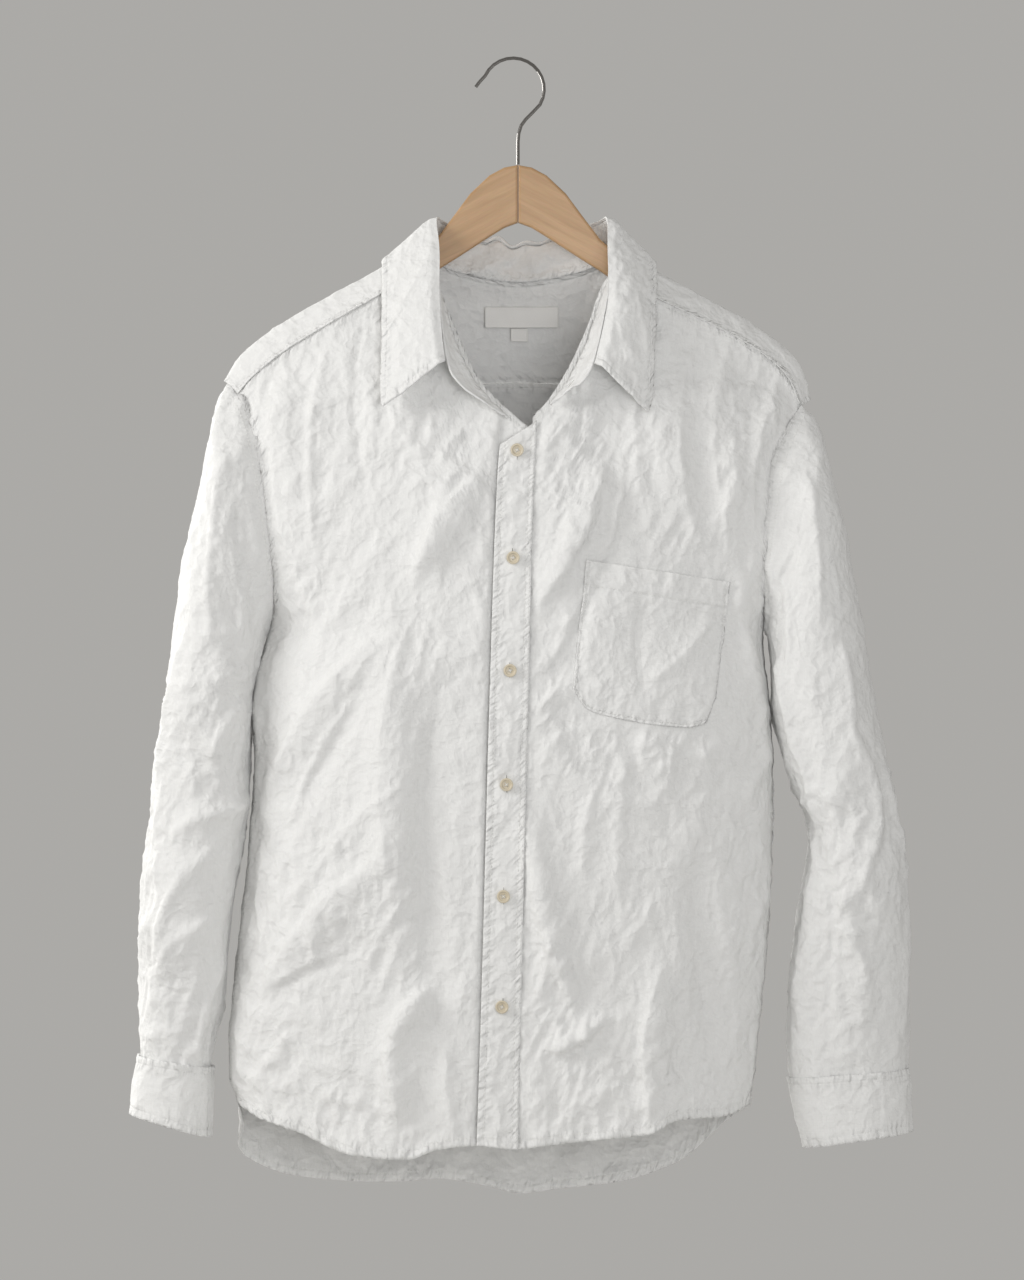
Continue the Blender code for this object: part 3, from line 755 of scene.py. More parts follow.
def makeFronts(linen):
    gap = frontPanel["outerGap"]
    u, v = gridShares(frontPanel["columns"], frontPanel["rows"])
    u = mix(toward(frontPanel["columns"])[None, :], u, 0.85)

    (inner, tip), (lowInner, low), armhole = frontSides["right"].values()
    topX, hemX = mix(inner, tip + gap, u), mix(lowInner, low + gap, u)
    topZ = np.where(topX < neckRight[0][0], yokeRightZ(topX), neckRightZ(topX)) + lap["top"]
    z = mix(topZ, hemFrontZ(hemX), v)
    side = mix(tip, edges(z)[0], easing(*armhole, z)) + gap
    x = mix(placketEdges(z)[1] - frontPanel["underPlacket"], side, u)
    y = frontY(x, z) + (layer + 0.8) * easing(placketEdges(z)[0] - 4, placketEdges(z)[0] - 1, x)
    right = np.stack([x, y, z], -1)
    away = edgeDistance(right)
    right = meetYoke(right, away, curve([(row[0], row[1]) for row in yokeSections[:5]]), -77)
    calm = easing(0, 26, away["right"]) * 0.5 + 0.5
    under = easing(placketEdges(z)[0] - 2, placketEdges(z)[0] - 10, x)
    lift = crumpled(right, 3) * calm + creaseRise(rightCreases, x, z)
    lift = lift * flatten(away["top"] - lap["top"])
    lift = lift * mix(0.15, 1.0, under) + frontEdges(away, 21)
    lift -= 0.35 * np.exp(-(((placketEdges(z)[0] - x) / 2.5) ** 2))
    sew("front_right", offset(right, -lift), linen, seams=frontPanel["seams"])

    (inner, tip), (lowInner, low), armhole = frontSides["left"].values()
    topX, hemX = mix(inner, tip - gap, u), mix(lowInner, low - gap, u)
    topZ = np.where(topX < neckLeft[-1][0], neckLeftZ(topX), yokeLeftZ(topX)) + lap["top"]
    z = mix(topZ, hemFrontZ(hemX), v)
    side = mix(tip, edges(z)[1], easing(*armhole, z)) - gap
    x = mix(placketEdges(z)[1] - lap["placket"], side, u)
    left = np.stack([x, frontY(x, z), z], -1)
    away = edgeDistance(left)
    left = meetYoke(left, away, curve([(row[0], row[1]) for row in yokeSections[12:]]), 89)
    calm = easing(0, 26, away["right"]) * 0.5 + 0.5
    lift = leftPanelLift(left) * mix(calm, 1, 0.3) * flatten(away["top"] - lap["top"])
    lift = lift * flatten(away["left"] - lap["placket"], 24) + frontEdges(away, 31)
    lift += pucker(np.abs(away["left"] - lap["placket"]), away["down"], 35, 0.6)
    lift -= tuck(away["left"], lap["placket"])
    sew("front_left", offset(left, lift), linen, seams=frontPanel["seams"])


placket = {"columns": 22, "rows": 320, "stitchIn": 6, "proud": 1.1}


def makePlacket(linen):
    u, v = gridShares(placket["columns"], placket["rows"])
    z = mix(neckLeftZ(mix(-11, 20, u)) - seamGap, hemFrontZ(mix(-32, 4, u)), v)
    free, sewn = placketEdges(z)
    x = mix(free, sewn, u)
    points = np.stack([x, frontY(x, z) - placket["proud"], z], -1)
    away = edgeDistance(points)
    lift = 0.5 * crumpled(points, 14, 0.8) + creaseRise(rightCreases + leftCreases, x, z) * 0.3
    for name, seed in (("left", 41), ("right", 43)):
        lift += pucker(away[name], away["down"], seed, 0.75, row=placket["stitchIn"])
    lift += pucker(away["low"], away["across"], 45, 0.5) + step(away["low"], 8, 0.5)
    drum = np.exp(-(((away["left"] - away["right"]) / 16) ** 2))
    place = np.stack([away["down"] / 17, z * 0, z * 0], -1)
    lift += 0.7 * drum + 1.1 * drum * noise(place, 5)
    seams = {"left": 5.5, "right": 5.5, "low": 7}
    sew("placket", offset(points, lift), linen, seams=seams)


backPanel = {"columns": 150, "rows": 210, "middleX": 5, "hemX": (-241, 203), "sideGap": 0.9}


def makeBack(linen):
    beside = backPanel["columns"] // 2
    half = mix(toward(beside), np.linspace(0, 1, beside + 1), 0.4)
    u = np.concatenate([-half[::-1], half[1:]])[None, :]
    v = np.linspace(0, 1, backPanel["rows"] + 1)[:, None]
    end = np.where(u < 0, yokeSections[0][12], yokeSections[-1][12])
    middle, gap = backPanel["middleX"], backPanel["sideGap"]
    topX = mix(middle, end, np.abs(u))
    hemX = mix(middle, np.where(u < 0, *backPanel["hemX"]), np.abs(u))
    topZ = backSeam(topX)[1] - seamGap - 0.5
    z = mix(topZ, hemBackZ(hemX), v)
    side = np.where(u < 0, edges(z)[0] + gap, edges(z)[1] - gap)
    x = mix(middle, side, np.abs(u))
    y = backY(x, z)
    rightOut, leftOut = swell(z)
    bulge = easing(0, 0.07, 1 - np.abs(u)) * easing(0.36, 0.08, 1 - np.abs(u))
    x = x + np.where(u < 0, -rightOut, leftOut) * bulge
    points = np.stack([x, y, z], -1)
    away = edgeDistance(points)
    lift = (crumpled(points, 17) + creaseRise(backCreases, x, z)) * flatten(away["top"])
    lift += pucker(away["low"], away["across"], 51, 1.0) + step(away["low"], 8, 0.6)
    lift += pucker(away["top"], away["across"], 53, 0.8)
    for name, seed in (("left", 55), ("right", 57)):
        lift = lift * mix(0.6, 1, easing(0, 20, away[name]))
        lift += pucker(away[name], away["down"], seed, 0.5)
    seams = {"low": 7, "top": 4, "left": 5, "right": 5}
    sew("back", offset(points, -lift), linen, seams=seams)


yokeStops = (0, 0.16, 0.28, 0.46, 1)
yokePaths = [
    curve([(stop, *row[3 * k : 3 * k + 3]) for k, stop in enumerate(yokeStops)])
    for row in yokeSections
]
backSeam = curve([(row[12], row[13], row[14]) for row in yokeSections])


def yokeGrid(columns, rows):
    # sections along the shoulders, each run from the front or neck edge to the back seam
    t = np.linspace(0, 1, rows + 1) ** 1.25
    paths = np.stack([np.stack(path(t), -1) for path in yokePaths])
    flat = paths.reshape(len(yokePaths), -1)
    across = curve([(k, *row) for k, row in enumerate(flat)])
    s = np.linspace(0, len(yokePaths) - 1, columns + 1)
    return np.moveaxis(np.stack(across(s), -1).reshape(columns + 1, rows + 1, 3), 0, 1)


yoke = {"columns": 220, "rows": 62}


def makeYoke(linen):
    points = yokeGrid(yoke["columns"], yoke["rows"])
    away = edgeDistance(points)
    lift = 0.75 * crumpled(points, 23, 0.8, lean=0.1) * flatten(away["top"]) * flatten(away["low"])
    lift += pucker(away["top"], away["across"], 61, 0.7, row=4) + step(away["top"], 7, 0.3)
    lift += pucker(away["low"], away["across"], 63, 0.7, row=4)
    for name in ("left", "right"):
        lift = lift * mix(0.4, 1, easing(0, 15, away[name]))
    lift = np.where(np.abs(points[..., 1]) < 9, np.maximum(lift, 0), lift)  # it rests on the wood
    seams = {"top": 2.5, "low": 4, "left": 4, "right": 4}
    sew("yoke", offset(points, -lift), linen, seams=seams)
    grids["yokeForm"] = points


sleeves = {
    "around": 132,
    "rows": 210,
    "square": 0.86,
    "tipZ": (-283, -303),  # the armhole's top, right and left
    "underarmZ": -500,
    "seams": {"top": 4, "low": 6},
    "intoCuff": (-2.4, -9, 2.4, -9, -2.4),  # outer x, outer z, inner x, inner z, half depth
}


def sleeveGrid(rows, armhole, around, count):
    # rings from the armhole down, each starting at its outer end and running over the front
    turns = np.linspace(0, 2 * np.pi, around, endpoint=False)
    across = np.sign(np.cos(turns)) * np.abs(np.cos(turns)) ** sleeves["square"]
    deep = np.sign(np.sin(turns)) * np.abs(np.sin(turns)) ** sleeves["square"]
    rings = []
    for outerX, outerZ, innerX, innerZ, half in rows:
        x = mix(innerX, outerX, (1 + across) / 2)
        z = mix(innerZ, outerZ, (1 + across) / 2)
        rings.append(np.stack([x, -half * deep - 3, z], -1))
    if armhole is not None:
        rings.insert(0, armhole(turns))
    rings = np.stack(rings)
    middles = rings.mean(axis=1)
    run = np.concatenate([[0], np.cumsum(np.linalg.norm(np.diff(middles, axis=0), axis=1))])
    flat = rings.reshape(len(rings), -1)
    lengthwise = curve([(run[k], *flat[k]) for k in range(len(rings))])
    s = np.linspace(0, run[-1], count + 1)
    return np.stack(lengthwise(s), -1).reshape(count + 1, around, 3)


def armholeRing(column, away):
    def ring(turns):
        tipZ, underarmZ = sleeves["tipZ"][column], sleeves["underarmZ"]
        z = mix(tipZ - 1.6, underarmZ, (1 - np.cos(turns)) / 2)
        found = edges(z)
        y = np.where(turns <= np.pi, found[2], found[3])
        y = np.where(z > -296, -12 * np.sin(turns) * 0.9, y)
        under = easing(0.55, 1.0, (1 - np.cos(turns)) / 2)
        x = found[column] + away * mix(-lap["armhole"], 0.2, under)
        return np.stack([x, y * 0.97, z], -1)

    return ring


def sleeveLift(points, creases, seed):
    # creases are placed by height and by turn in degrees from the outer edge, front first
    rows, around = points.shape[:2]
    turn = np.broadcast_to(np.linspace(0, 360, around, endpoint=False)[None, :], (rows, around))
    middleZ = np.broadcast_to(points[..., 2].mean(axis=1, keepdims=True), turn.shape)
    size = 0.8  # mm of cloth to a degree
    lift = crumpled(points, seed, 1.0)
    placed = [(a * size, b, c * size, d, w, r) for a, b, c, d, w, r in creases]
    lift += creaseRise(placed, turn * size, middleZ)
    down = along(points, 0)
    run = along(points, 1)
    lift *= mix(0.45, 1, easing(0, 18, down)) * mix(0.6, 1, easing(0, 15, down[-1:] - down))
    lift += pucker(down, run, seed + 1, 1.0, row=3)
    lift += pucker(down[-1:] - down, run, seed + 2, 1.3, 16, 2)
    return lift


def makeSleeves(linen):
    around, count = sleeves["around"], sleeves["rows"]
    intoCuff = np.array(sleeves["intoCuff"])
    rightRows = sleeveRight + (tuple(cuffRight[0] + intoCuff * (-1, 1, -1, 1, 1)),)
    leftRows = sleeveLeft + (tuple(cuffLeft[0] + intoCuff),)
    right = sleeveGrid(rightRows, armholeRing(0, -1), around, count)
    left = sleeveGrid(leftRows, armholeRing(1, 1), around, count)
    for name, points, creases, seed, way in (
        ("right", right, rightSleeveCreases, 71, 1),
        ("left", left, leftSleeveCreases, 81, -1),
    ):
        lift = sleeveLift(points, creases, seed)
        moved = offset(points, way * lift, closed=True)
        sew("sleeve_" + name, moved, linen, closed=True, seams=sleeves["seams"])


cuffs = {"around": 132, "rows": 26, "thick": 1.8, "seams": {"top": 6, "low": 7}}


def makeCuffs(linen):
    for name, rows, way, seed in (("right", cuffRight, 1, 91), ("left", cuffLeft, -1, 95)):
        points = sleeveGrid(rows, None, cuffs["around"], cuffs["rows"])
        down, run = along(points, 0), along(points, 1)
        lift = 0.55 * crumpled(points, seed) + step(down, 300, 0.8)
        lift += pucker(down, run, seed + 1, 0.7, row=6)
        lift += pucker(down[-1:] - down, run, seed + 2, 0.7, row=7)
        moved = offset(points, way * lift, closed=True)
        how = {"thick": cuffs["thick"], "seams": cuffs["seams"]}
        sew("cuff_" + name, moved, linen, closed=True, **how)


standCreases = (
    # from x, z, to x, z, width, rise
    (-56, -176, -18, -164, 4, 2.4),
    (-40, -186, 2, -170, 5, -2.6),
    (-8, -184, 14, -160, 4, 2.8),
    (18, -186, 34, -164, 4, -2.4),
    (34, -182, 62, -166, 4, 2.6),
    (-30, -160, 4, -156, 3, 1.8),
)
collar = {"columns": 260, "standRows": 18, "leafRows": 44, "stitchIn": 6}


def ruffle(points):
    # the fold of the collar rises and dips behind the neck
    return easing(14, 26, points[..., 1]) * 6.0 * noise(points / 15.0, 103)


def makeCollar(linen):
    table = curve([(k, *row) for k, row in enumerate(collarRows)])
    last = len(collarRows) - 1
    found = table(np.linspace(0, last, collar["columns"] + 1))
    seam, fold = np.stack(found[:3], -1), np.stack(found[3:6], -1)
    t = np.linspace(0, 1, collar["standRows"] + 1)[:, None, None]
    rise = (fold - seam) / np.linalg.norm(fold - seam, axis=-1, keepdims=True)
    behind = easing(-10, 16, seam[:, 1])[None, :]
    foot = mix(0.8, -4.5, behind)[..., None]
    stand = mix(seam[None], fold[None], t) + rise[None] * foot * (1 - t)
    stand[..., 2] += ruffle(stand) * t[..., 0]
    away = edgeDistance(stand)
    lift = mix(0.35, 1.0, behind) * crumpled(stand, 101) * easing(0, 9, away["top"])
    lift += behind * creaseRise(standCreases, stand[..., 0], stand[..., 2])
    lift += pucker(away["top"], away["across"], 102, 1.2, row=4)
    sew("collar_stand", offset(stand, lift), linen, thick=1.6, seams={"top": 4})

    found = table(np.linspace(2, last - 2, collar["columns"] + 1))
    seam, fold, edge = (np.stack(found[k : k + 3], -1) for k in (0, 3, 6))
    t = np.linspace(0, 1, collar["leafRows"] + 1)[:, None, None] ** 1.3
    up = ((fold - seam) / np.linalg.norm(fold - seam, axis=-1, keepdims=True))[None]
    out = np.stack([fold[:, 0] - 5, fold[:, 1], fold[:, 1] * 0], -1)
    out = (out / np.linalg.norm(out, axis=-1, keepdims=True))[None]
    turned = 4.4 * easing(0, 0.08, t) * (1 - 0.7 * t)
    leaf = fold + up * 3.0 * (1 - t) + (edge - fold)[None] * t
    leaf = leaf + out * turned + up * 16 * t * (1 - t)
    leaf[..., 2] += ruffle(leaf) * (1 - t[..., 0]) ** 2
    away = edgeDistance(leaf)
    lift = 0.6 * crumpled(leaf, 111) * easing(0, 10, away["top"])
    for name, seed, height in (("low", 112, 0.8), ("left", 114, 0.6), ("right", 116, 0.6)):
        run = away["across"] if name == "low" else away["down"]
        lift += pucker(away[name], run, seed, height, row=collar["stitchIn"])
    seams = {"low": 6, "left": 6, "right": 6}
    sew("collar_leaf", offset(leaf, -lift), linen, thick=1.8, seams=seams)


rightCreases = (
    # from x, z, to x, z, width, rise
    (-29, -366, -84, -452, 7, 5.5),
    (-44, -352, -70, -420, 5, 2.5),
    (-200, -262, -196, -440, 8, 3.0),
    (-161, -246, -172, -436, 7, 2.6),
    (-132, -236, -128, -380, 8, -2.2),
    (-127, -515, -214, -640, 7, 4.2),
    (-134, -555, -193, -672, 5, 3.0),
    (-96, -500, -150, -560, 6, 2.4),
    (-120, -705, -216, -812, 8, 4.6),
    (-141, -776, -216, -814, 5, 3.0),
    (-100, -640, -176, -720, 6, 2.6),
    (-75, -815, -106, -858, 6, 5.5),
    (-106, -856, -98, -926, 7, 4.6),
    (-100, -520, -103, -740, 16, 3.6),
    (-64, -560, -72, -800, 10, -2.6),
    (-168, -905, -118, -914, 4, 2.0),
    (-190, -850, -226, -905, 6, 2.8),
    (-56, -860, -50, -945, 6, 2.4),
    (-214, -480, -222, -600, 6, 2.6),
)
leftCreases = (
    # from x, z, to x, z, width, rise
    (24, -476, 78, -360, 7, 4.6),
    (42, -504, 96, -372, 6, 3.4),
    (22, -540, 60, -470, 5, 2.4),
    (112, -252, 121, -424, 8, 3.0),
    (150, -262, 160, -434, 7, 3.0),
    (182, -276, 184, -400, 6, 2.4),
    (224, -300, 208, -408, 6, 3.4),
    (196, -360, 187, -440, 5, 2.6),
    (196, -452, 218, -564, 7, 4.4),
    (217, -563, 222, -618, 6, 3.6),
    (222, -614, 203, -652, 6, 3.0),
    (11, -660, 48, -812, 7, 4.6),
    (46, -806, 56, -842, 6, 3.0),
    (32, -868, 80, -838, 5, 4.4),
    (127, -795, 121, -938, 8, 4.2),
    (160, -690, 178, -860, 8, -2.6),
    (100, -610, 96, -760, 9, 2.4),
    (150, -596, 196, -622, 4, 1.8),
    (110, -600, 166, -612, 4, 1.6),
    (70, -640, 62, -720, 6, 2.2),
)
backCreases = (
    # from x, z, to x, z, width, rise
    (-60, -330, -88, -700, 12, -4.5),
    (64, -330, 98, -720, 12, -4.5),
    (-160, -360, -190, -560, 8, -3.5),
    (168, -360, 190, -560, 8, -3.5),
    (-30, -600, -120, -780, 8, -4.0),
    (30, -640, 120, -820, 8, -4.0),
    (-10, -420, 20, -620, 9, 3.0),
    (-90, -820, -160, -960, 8, -4.0),
    (80, -850, 60, -985, 8, -3.5),
    (-20, -800, 8, -980, 9, -3.0),
)
rightSleeveCreases = (
    # from turn, z, to turn, z, width, rise
    (62, -335, 86, -520, 7, 3.4),
    (110, -360, 120, -470, 6, 2.8),
    (142, -520, 96, -612, 7, 4.2),
    (166, -612, 66, -694, 7, 5.0),
    (112, -680, 56, -800, 8, 4.8),
    (118, -745, 60, -810, 5, 3.4),
    (150, -780, 120, -870, 6, 3.6),
    (46, -560, 40, -700, 7, 2.8),
    (240, -380, 285, -560, 8, 4.0),
    (300, -500, 245, -700, 8, 4.4),
    (215, -640, 295, -800, 8, 4.2),
    (330, -400, 340, -600, 7, 2.6),
)
leftSleeveCreases = (
    # from turn, z, to turn, z, width, rise
    (70, -345, 84, -500, 7, 3.4),
    (118, -380, 126, -500, 6, 3.0),
    (146, -470, 138, -570, 7, 4.6),
    (138, -566, 146, -672, 7, 4.0),
    (66, -540, 74, -605, 6, 4.6),
    (74, -600, 56, -650, 6, 4.0),
    (56, -645, 76, -704, 6, 4.6),
    (76, -700, 104, -745, 6, 3.8),
    (100, -735, 84, -850, 7, 3.2),
    (130, -700, 110, -860, 8, -2.6),
    (36, -620, 30, -840, 6, 3.2),
    (240, -380, 280, -600, 8, 4.2),
    (300, -560, 250, -760, 8, 4.2),
    (220, -700, 290, -850, 8, 4.0),
)


pocket = {
    "columns": 96,
    "rows": 104,
    "proud": 1.5,
    "hem": 22,
    "topX": (62.7, 188.8),
    "topZ": (-441, -460),
}
pocketCreases = (
    # from x, z, to x, z, width, rise
    (112, -470, 114, -560, 7, -2.4),
    (116, -548, 176, -486, 8, 2.4),
    (74, -474, 66, -540, 6, 1.2),
)
pocketBottom = (
    # across, x, z
    (0, 52, -553),
    (0.12, 64, -570),
    (0.3, 88.5, -578),
    (0.6, 131, -585),
    (0.9, 166, -583),
    (1, 176, -561),
)


def makePocket(linen):
    u, v = gridShares(pocket["columns"], pocket["rows"])
    lowX, lowZ = curve(pocketBottom)(u)
    x, z = mix(mix(*pocket["topX"], u), lowX, v), mix(mix(*pocket["topZ"], u), lowZ, v)
    points = np.stack([x, frontY(x, z), z], -1)
    away = edgeDistance(points)
    lift = leftPanelLift(points) + pocket["proud"]
    lift += step(away["top"], pocket["hem"], 0.9) + 0.4 * crumpled(points, 121)
    lift += creaseRise(pocketCreases, x, z)
    offHem = away["top"] - pocket["hem"]
    lift += 1.0 * easing(5, 0, away["top"]) - 1.1 * np.exp(-((offHem / 1.4) ** 2))
    lift += pucker(np.abs(offHem), away["across"], 129, 0.8, 5, 9)
    inside = np.minimum(np.minimum(away["left"], away["right"]), away["low"])
    lift += 0.8 * easing(0, 25, inside) * easing(0, 12, away["top"])
    for name, seed in (("left", 123), ("right", 125), ("low", 127)):
        run = away["across"] if name == "low" else away["down"]
        lift += pucker(away[name], run, seed, 1.0, row=3)
    seams = {"left": 3, "right": 3, "low": 3}
    sew("pocket", offset(points, lift), linen, thick=1.2, seams=seams)


labels = {
    "neck_label": (-25, 40, -216, -234),  # from x, to x, top z, lower z
    "neck_tab": (-2, 13, -234.6, -246),
}
labelOff = 4.0  # in front of the yoke


def makeLabels(tape):
    form = grids["yoke"].reshape(-1, 3)
    form = form[form[:, 1] > 15]
    for name, (left, right, top, low) in labels.items():
        x, z = np.meshgrid(np.linspace(left, right, 41), np.linspace(top, low, 17))
        flat = np.stack([x, z], -1).reshape(-1, 2)
        gaps = np.linalg.norm(form[None, :, [0, 2]] - flat[:, None], axis=-1)
        near = np.exp(-((gaps / 4.0) ** 2))
        y = (near @ form[:, 1]) / near.sum(axis=1)
        points = np.stack([x, y.reshape(x.shape) - labelOff, z], -1)
        away = edgeDistance(points)
        inside = np.minimum.reduce([away[edge] for edge in ("left", "right", "top", "low")])
        lift = 0.5 * easing(1.6, 0, inside) + 0.3 * noise(points / 14.0, 131)
        sew(name, offset(points, lift), tape, thick=0.7, slot="label")


def seamLine(points, edge, width):
    # the line at one distance in from an edge of a grid, with the cloth's normal there
    away = edgeDistance(points)[edge]
    normals = normalsOf(points)
    both = np.concatenate([points, normals], -1)
    if edge in ("left", "right"):
        both, away = np.swapaxes(both, 0, 1), away.T
    if edge in ("right", "low"):
        both, away = both[::-1], away[::-1]
    line = []
    for i in range(both.shape[1]):
        line.append([np.interp(width, away[:, i], both[:, i, k]) for k in range(6)])
    return np.array(line)


stitch = {"pitch": 3.6, "length": 2.5, "thick": 0.34, "proud": 0.62}


def addStitches(form, line, side, trim=3.0):
    # small threads laid end to end along a line of points and normals
    run = np.concatenate([[0], np.cumsum(np.linalg.norm(np.diff(line[:, :3], axis=0), axis=1))])
    places = np.arange(trim, run[-1] - trim, stitch["pitch"])
    for place in places:
        here = [np.interp(place, run, line[:, k]) for k in range(6)]
        ahead = [np.interp(place + 0.5, run, line[:, k]) for k in range(3)]
        way = (Vector(ahead) - Vector(here[:3])).normalized()
        normal = Vector(here[3:]).normalized() * side
        cross = way.cross(normal).normalized()
        turn = Matrix((way, cross, normal)).transposed().to_4x4()
        size = Matrix.Diagonal((stitch["length"] / 2, stitch["thick"], stitch["thick"], 1))
        middle = Vector(here[:3]) + normal * stitch["proud"]
        place4 = Matrix.Scale(mm, 4) @ Matrix.Translation(middle) @ turn @ size
        bmesh.ops.create_icosphere(form, subdivisions=1, radius=1, matrix=place4)


def closedLine(points, row):
    ring = points[row]
    normals = normalsOf(points, closed=True)[row]
    both = np.concatenate([ring, normals], -1)
    return np.concatenate([both, both[:1]], 0)


stitchLines = {
    # piece: grid, edge, distance in, side of the grid that shows
    "front_right": (("front_right", "low", 7, -1), ("front_right", "top", 6, -1)),
    "front_left": (("front_left", "low", 7, 1), ("front_left", "top", 6, 1)),
    "placket": (
        ("placket", "left", 5.5, 1),
        ("placket", "right", 5.5, 1),
        ("placket", "right", 2, 1),
    ),
    "back": (("back", "low", 7, 1), ("back", "low", 7, -1), ("back", "top", 3, -1)),
    "yoke": (("yoke", "top", 2.5, -1), ("yoke", "low", 4, 1), ("yoke", "low", 4, -1)),
    "collar": (
        *(("collar_leaf", edge, 6, -1) for edge in ("low", "left", "right")),
        ("collar_stand", "top", 3, -1),
    ),
    "pocket": (
        *(("pocket", edge, 3, 1) for edge in ("left", "right", "low")),
        ("pocket", "top", 22, 1),
    ),
}


def makeStitches(thread):
    for name, runs in stitchLines.items():
        form = bmesh.new()
        for grid, edge, width, side in runs:
            addStitches(form, seamLine(grids[grid], edge, width), side)
        finishStitches(name, form, thread)
    for name in ("right", "left"):
        form = bmesh.new()
        side = 1 if name == "right" else -1
        for row in (3, 7, -4):
            addStitches(form, closedLine(grids["cuff_" + name], row), side)
        addStitches(form, closedLine(grids["sleeve_" + name], 3), side)
        finishStitches("cuff_" + name, form, thread)


buttonhole = {"length": 17, "bar": 0.5, "apart": 0.8, "proud": 0.5}
collarHole = (50, -289, 62, 13)  # x, z, turn and length, in the left end of the stand


def addButtonhole(bars, slitShadeForm, grid, x, z, turn, length):
    # two thin bars of satin stitch, and between them a dark sliver of painted shade where the slit
    # is
    points, normals = grid.reshape(-1, 3), normalsOf(grid).reshape(-1, 3)
    nearest = np.argmin(np.hypot(points[:, 0] - x, points[:, 2] - z))
    normal = Vector(normals[nearest]).normalized()
    normal = normal if normal.y < 0 else -normal
    way = Vector((math.cos(math.radians(turn)), 0, math.sin(math.radians(turn))))
    way = (way - normal * way.dot(normal)).normalized()
    cross = way.cross(normal)
    turned = Matrix((way, cross, normal)).transposed().to_4x4()
    middle = Vector(points[nearest]) + normal * buttonhole["proud"]
    for form, off in ((bars, -buttonhole["apart"]), (bars, buttonhole["apart"]), (slitShadeForm, 0)):
        size = Matrix.Diagonal((length / 2, buttonhole["bar"], buttonhole["bar"], 1))
        place = Matrix.Scale(mm, 4) @ Matrix.Translation(middle + cross * off) @ turned @ size
        bmesh.ops.create_icosphere(form, subdivisions=3, radius=1, matrix=place)


def makeButtonholes(thread, shade):
    bars, slitShadeForm = bmesh.new(), bmesh.new()
    for x, z in buttonRows:
        addButtonhole(bars, slitShadeForm, grids["placket"], x, z, 90, buttonhole["length"])
    addButtonhole(bars, slitShadeForm, grids["collar_stand"], *collarHole)
    finishStitches("buttonholes", bars, thread)
    # the dark slivers are painted shade standing in the buttonhole slits
    finishStitches("buttonhole_slit_shade", slitShadeForm, shade)


def finishStitches(name, form, thread):
    mesh = meshOf("stitches_" + name, form, thread)
    mesh.shade_smooth()
    finishPiece("stitches_" + name, mesh)


button = {
    "radius": 5.7,
    "thick": 2.4,
    "holeOut": 1.55,
    "holeRadius": 0.62,
    "sunk": 0.75,
    "turn": 0.35,  # radians from each button to the next
    "sewnAt": 1.35,
    "profile": (  # shares of the radius and of the thickness
        (0, 0.5),
        (0.5, 0.5),
        (0.62, 0.56),
        (0.72, 0.92),
        (0.82, 1.0),
        (0.93, 0.95),
        (1, 0.7),
        (0.97, 0.35),
        (0.8, 0.08),
        (0.6, 0),
        (0, 0),
    ),
}


def makeButtonMesh(shell):
    form = bmesh.new()
    dots = [
        form.verts.new((out * button["radius"], 0, high * button["thick"]))
        for out, high in button["profile"]
    ]
    lines = [form.edges.new(pair) for pair in zip(dots, dots[1:])]
    bmesh.ops.spin(
        form,
        geom=dots + lines,
        cent=(0, 0, 0),
        axis=(0, 0, 1),
        angle=2 * math.pi,
        steps=48,
        use_merge=True,
    )
    bmesh.ops.remove_doubles(form, verts=form.verts, dist=0.001)
    bmesh.ops.recalc_face_normals(form, faces=form.faces)
    blank = linked("buttonBlank", meshOf("buttonForm", form, shell))
    form = bmesh.new()
    for k in range(4):
        turn = math.radians(45 + 90 * k)
        spot = (button["holeOut"] * math.cos(turn), button["holeOut"] * math.sin(turn), 1)
        bmesh.ops.create_cone(
            form,
            cap_ends=True,
            segments=12,
            radius1=button["holeRadius"],
            radius2=button["holeRadius"],
            depth=6,
            matrix=Matrix.Translation(spot),
        )
    drill = linked("drill", meshOf("drill", form))
    cut = blank.modifiers.new("holes", "BOOLEAN")
    cut.operation = "DIFFERENCE"
    cut.object = drill
    graph = bpy.context.evaluated_depsgraph_get()
    made = bpy.data.meshes.new_from_object(blank.evaluated_get(graph))
    bpy.data.objects.remove(blank)
    bpy.data.objects.remove(drill)
    return made


def makeButtons(shell, thread):
    form = makeButtonMesh(shell)
    surface = grids["placket"].reshape(-1, 3)
    for number, (x, z) in enumerate(buttonRows, 1):
        near = surface[np.hypot(surface[:, 0] - x, surface[:, 2] - z) < 6]
        y = near[:, 1].min() - button["sunk"]
        tilt = Matrix.Rotation(math.radians(90), 4, "X")
        tilt = tilt @ Matrix.Rotation(button["turn"] * number, 4, "Z")
        place = Matrix.Scale(mm, 4) @ Matrix.Translation((x, y, z)) @ tilt
        mesh = form.copy()
        mesh.transform(place)
        mesh.set_sharp_from_angle(angle=math.radians(40))
        piece = finishPiece(f"shirt_button_{number}", mesh)
        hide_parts(f"button_{number}")
        sew = bmesh.new()
        for turnBy in (45, 135):
            turned = Matrix.Rotation(math.radians(turnBy), 4, "Z")
            size = Matrix.Diagonal((button["holeOut"] + 0.3, 0.32, 0.3, 1))
            at = place @ Matrix.Translation((0, 0, button["sewnAt"])) @ turned @ size
            bmesh.ops.create_icosphere(sew, subdivisions=2, radius=1, matrix=at)
        finishStitches(f"button_{number}", sew, thread)


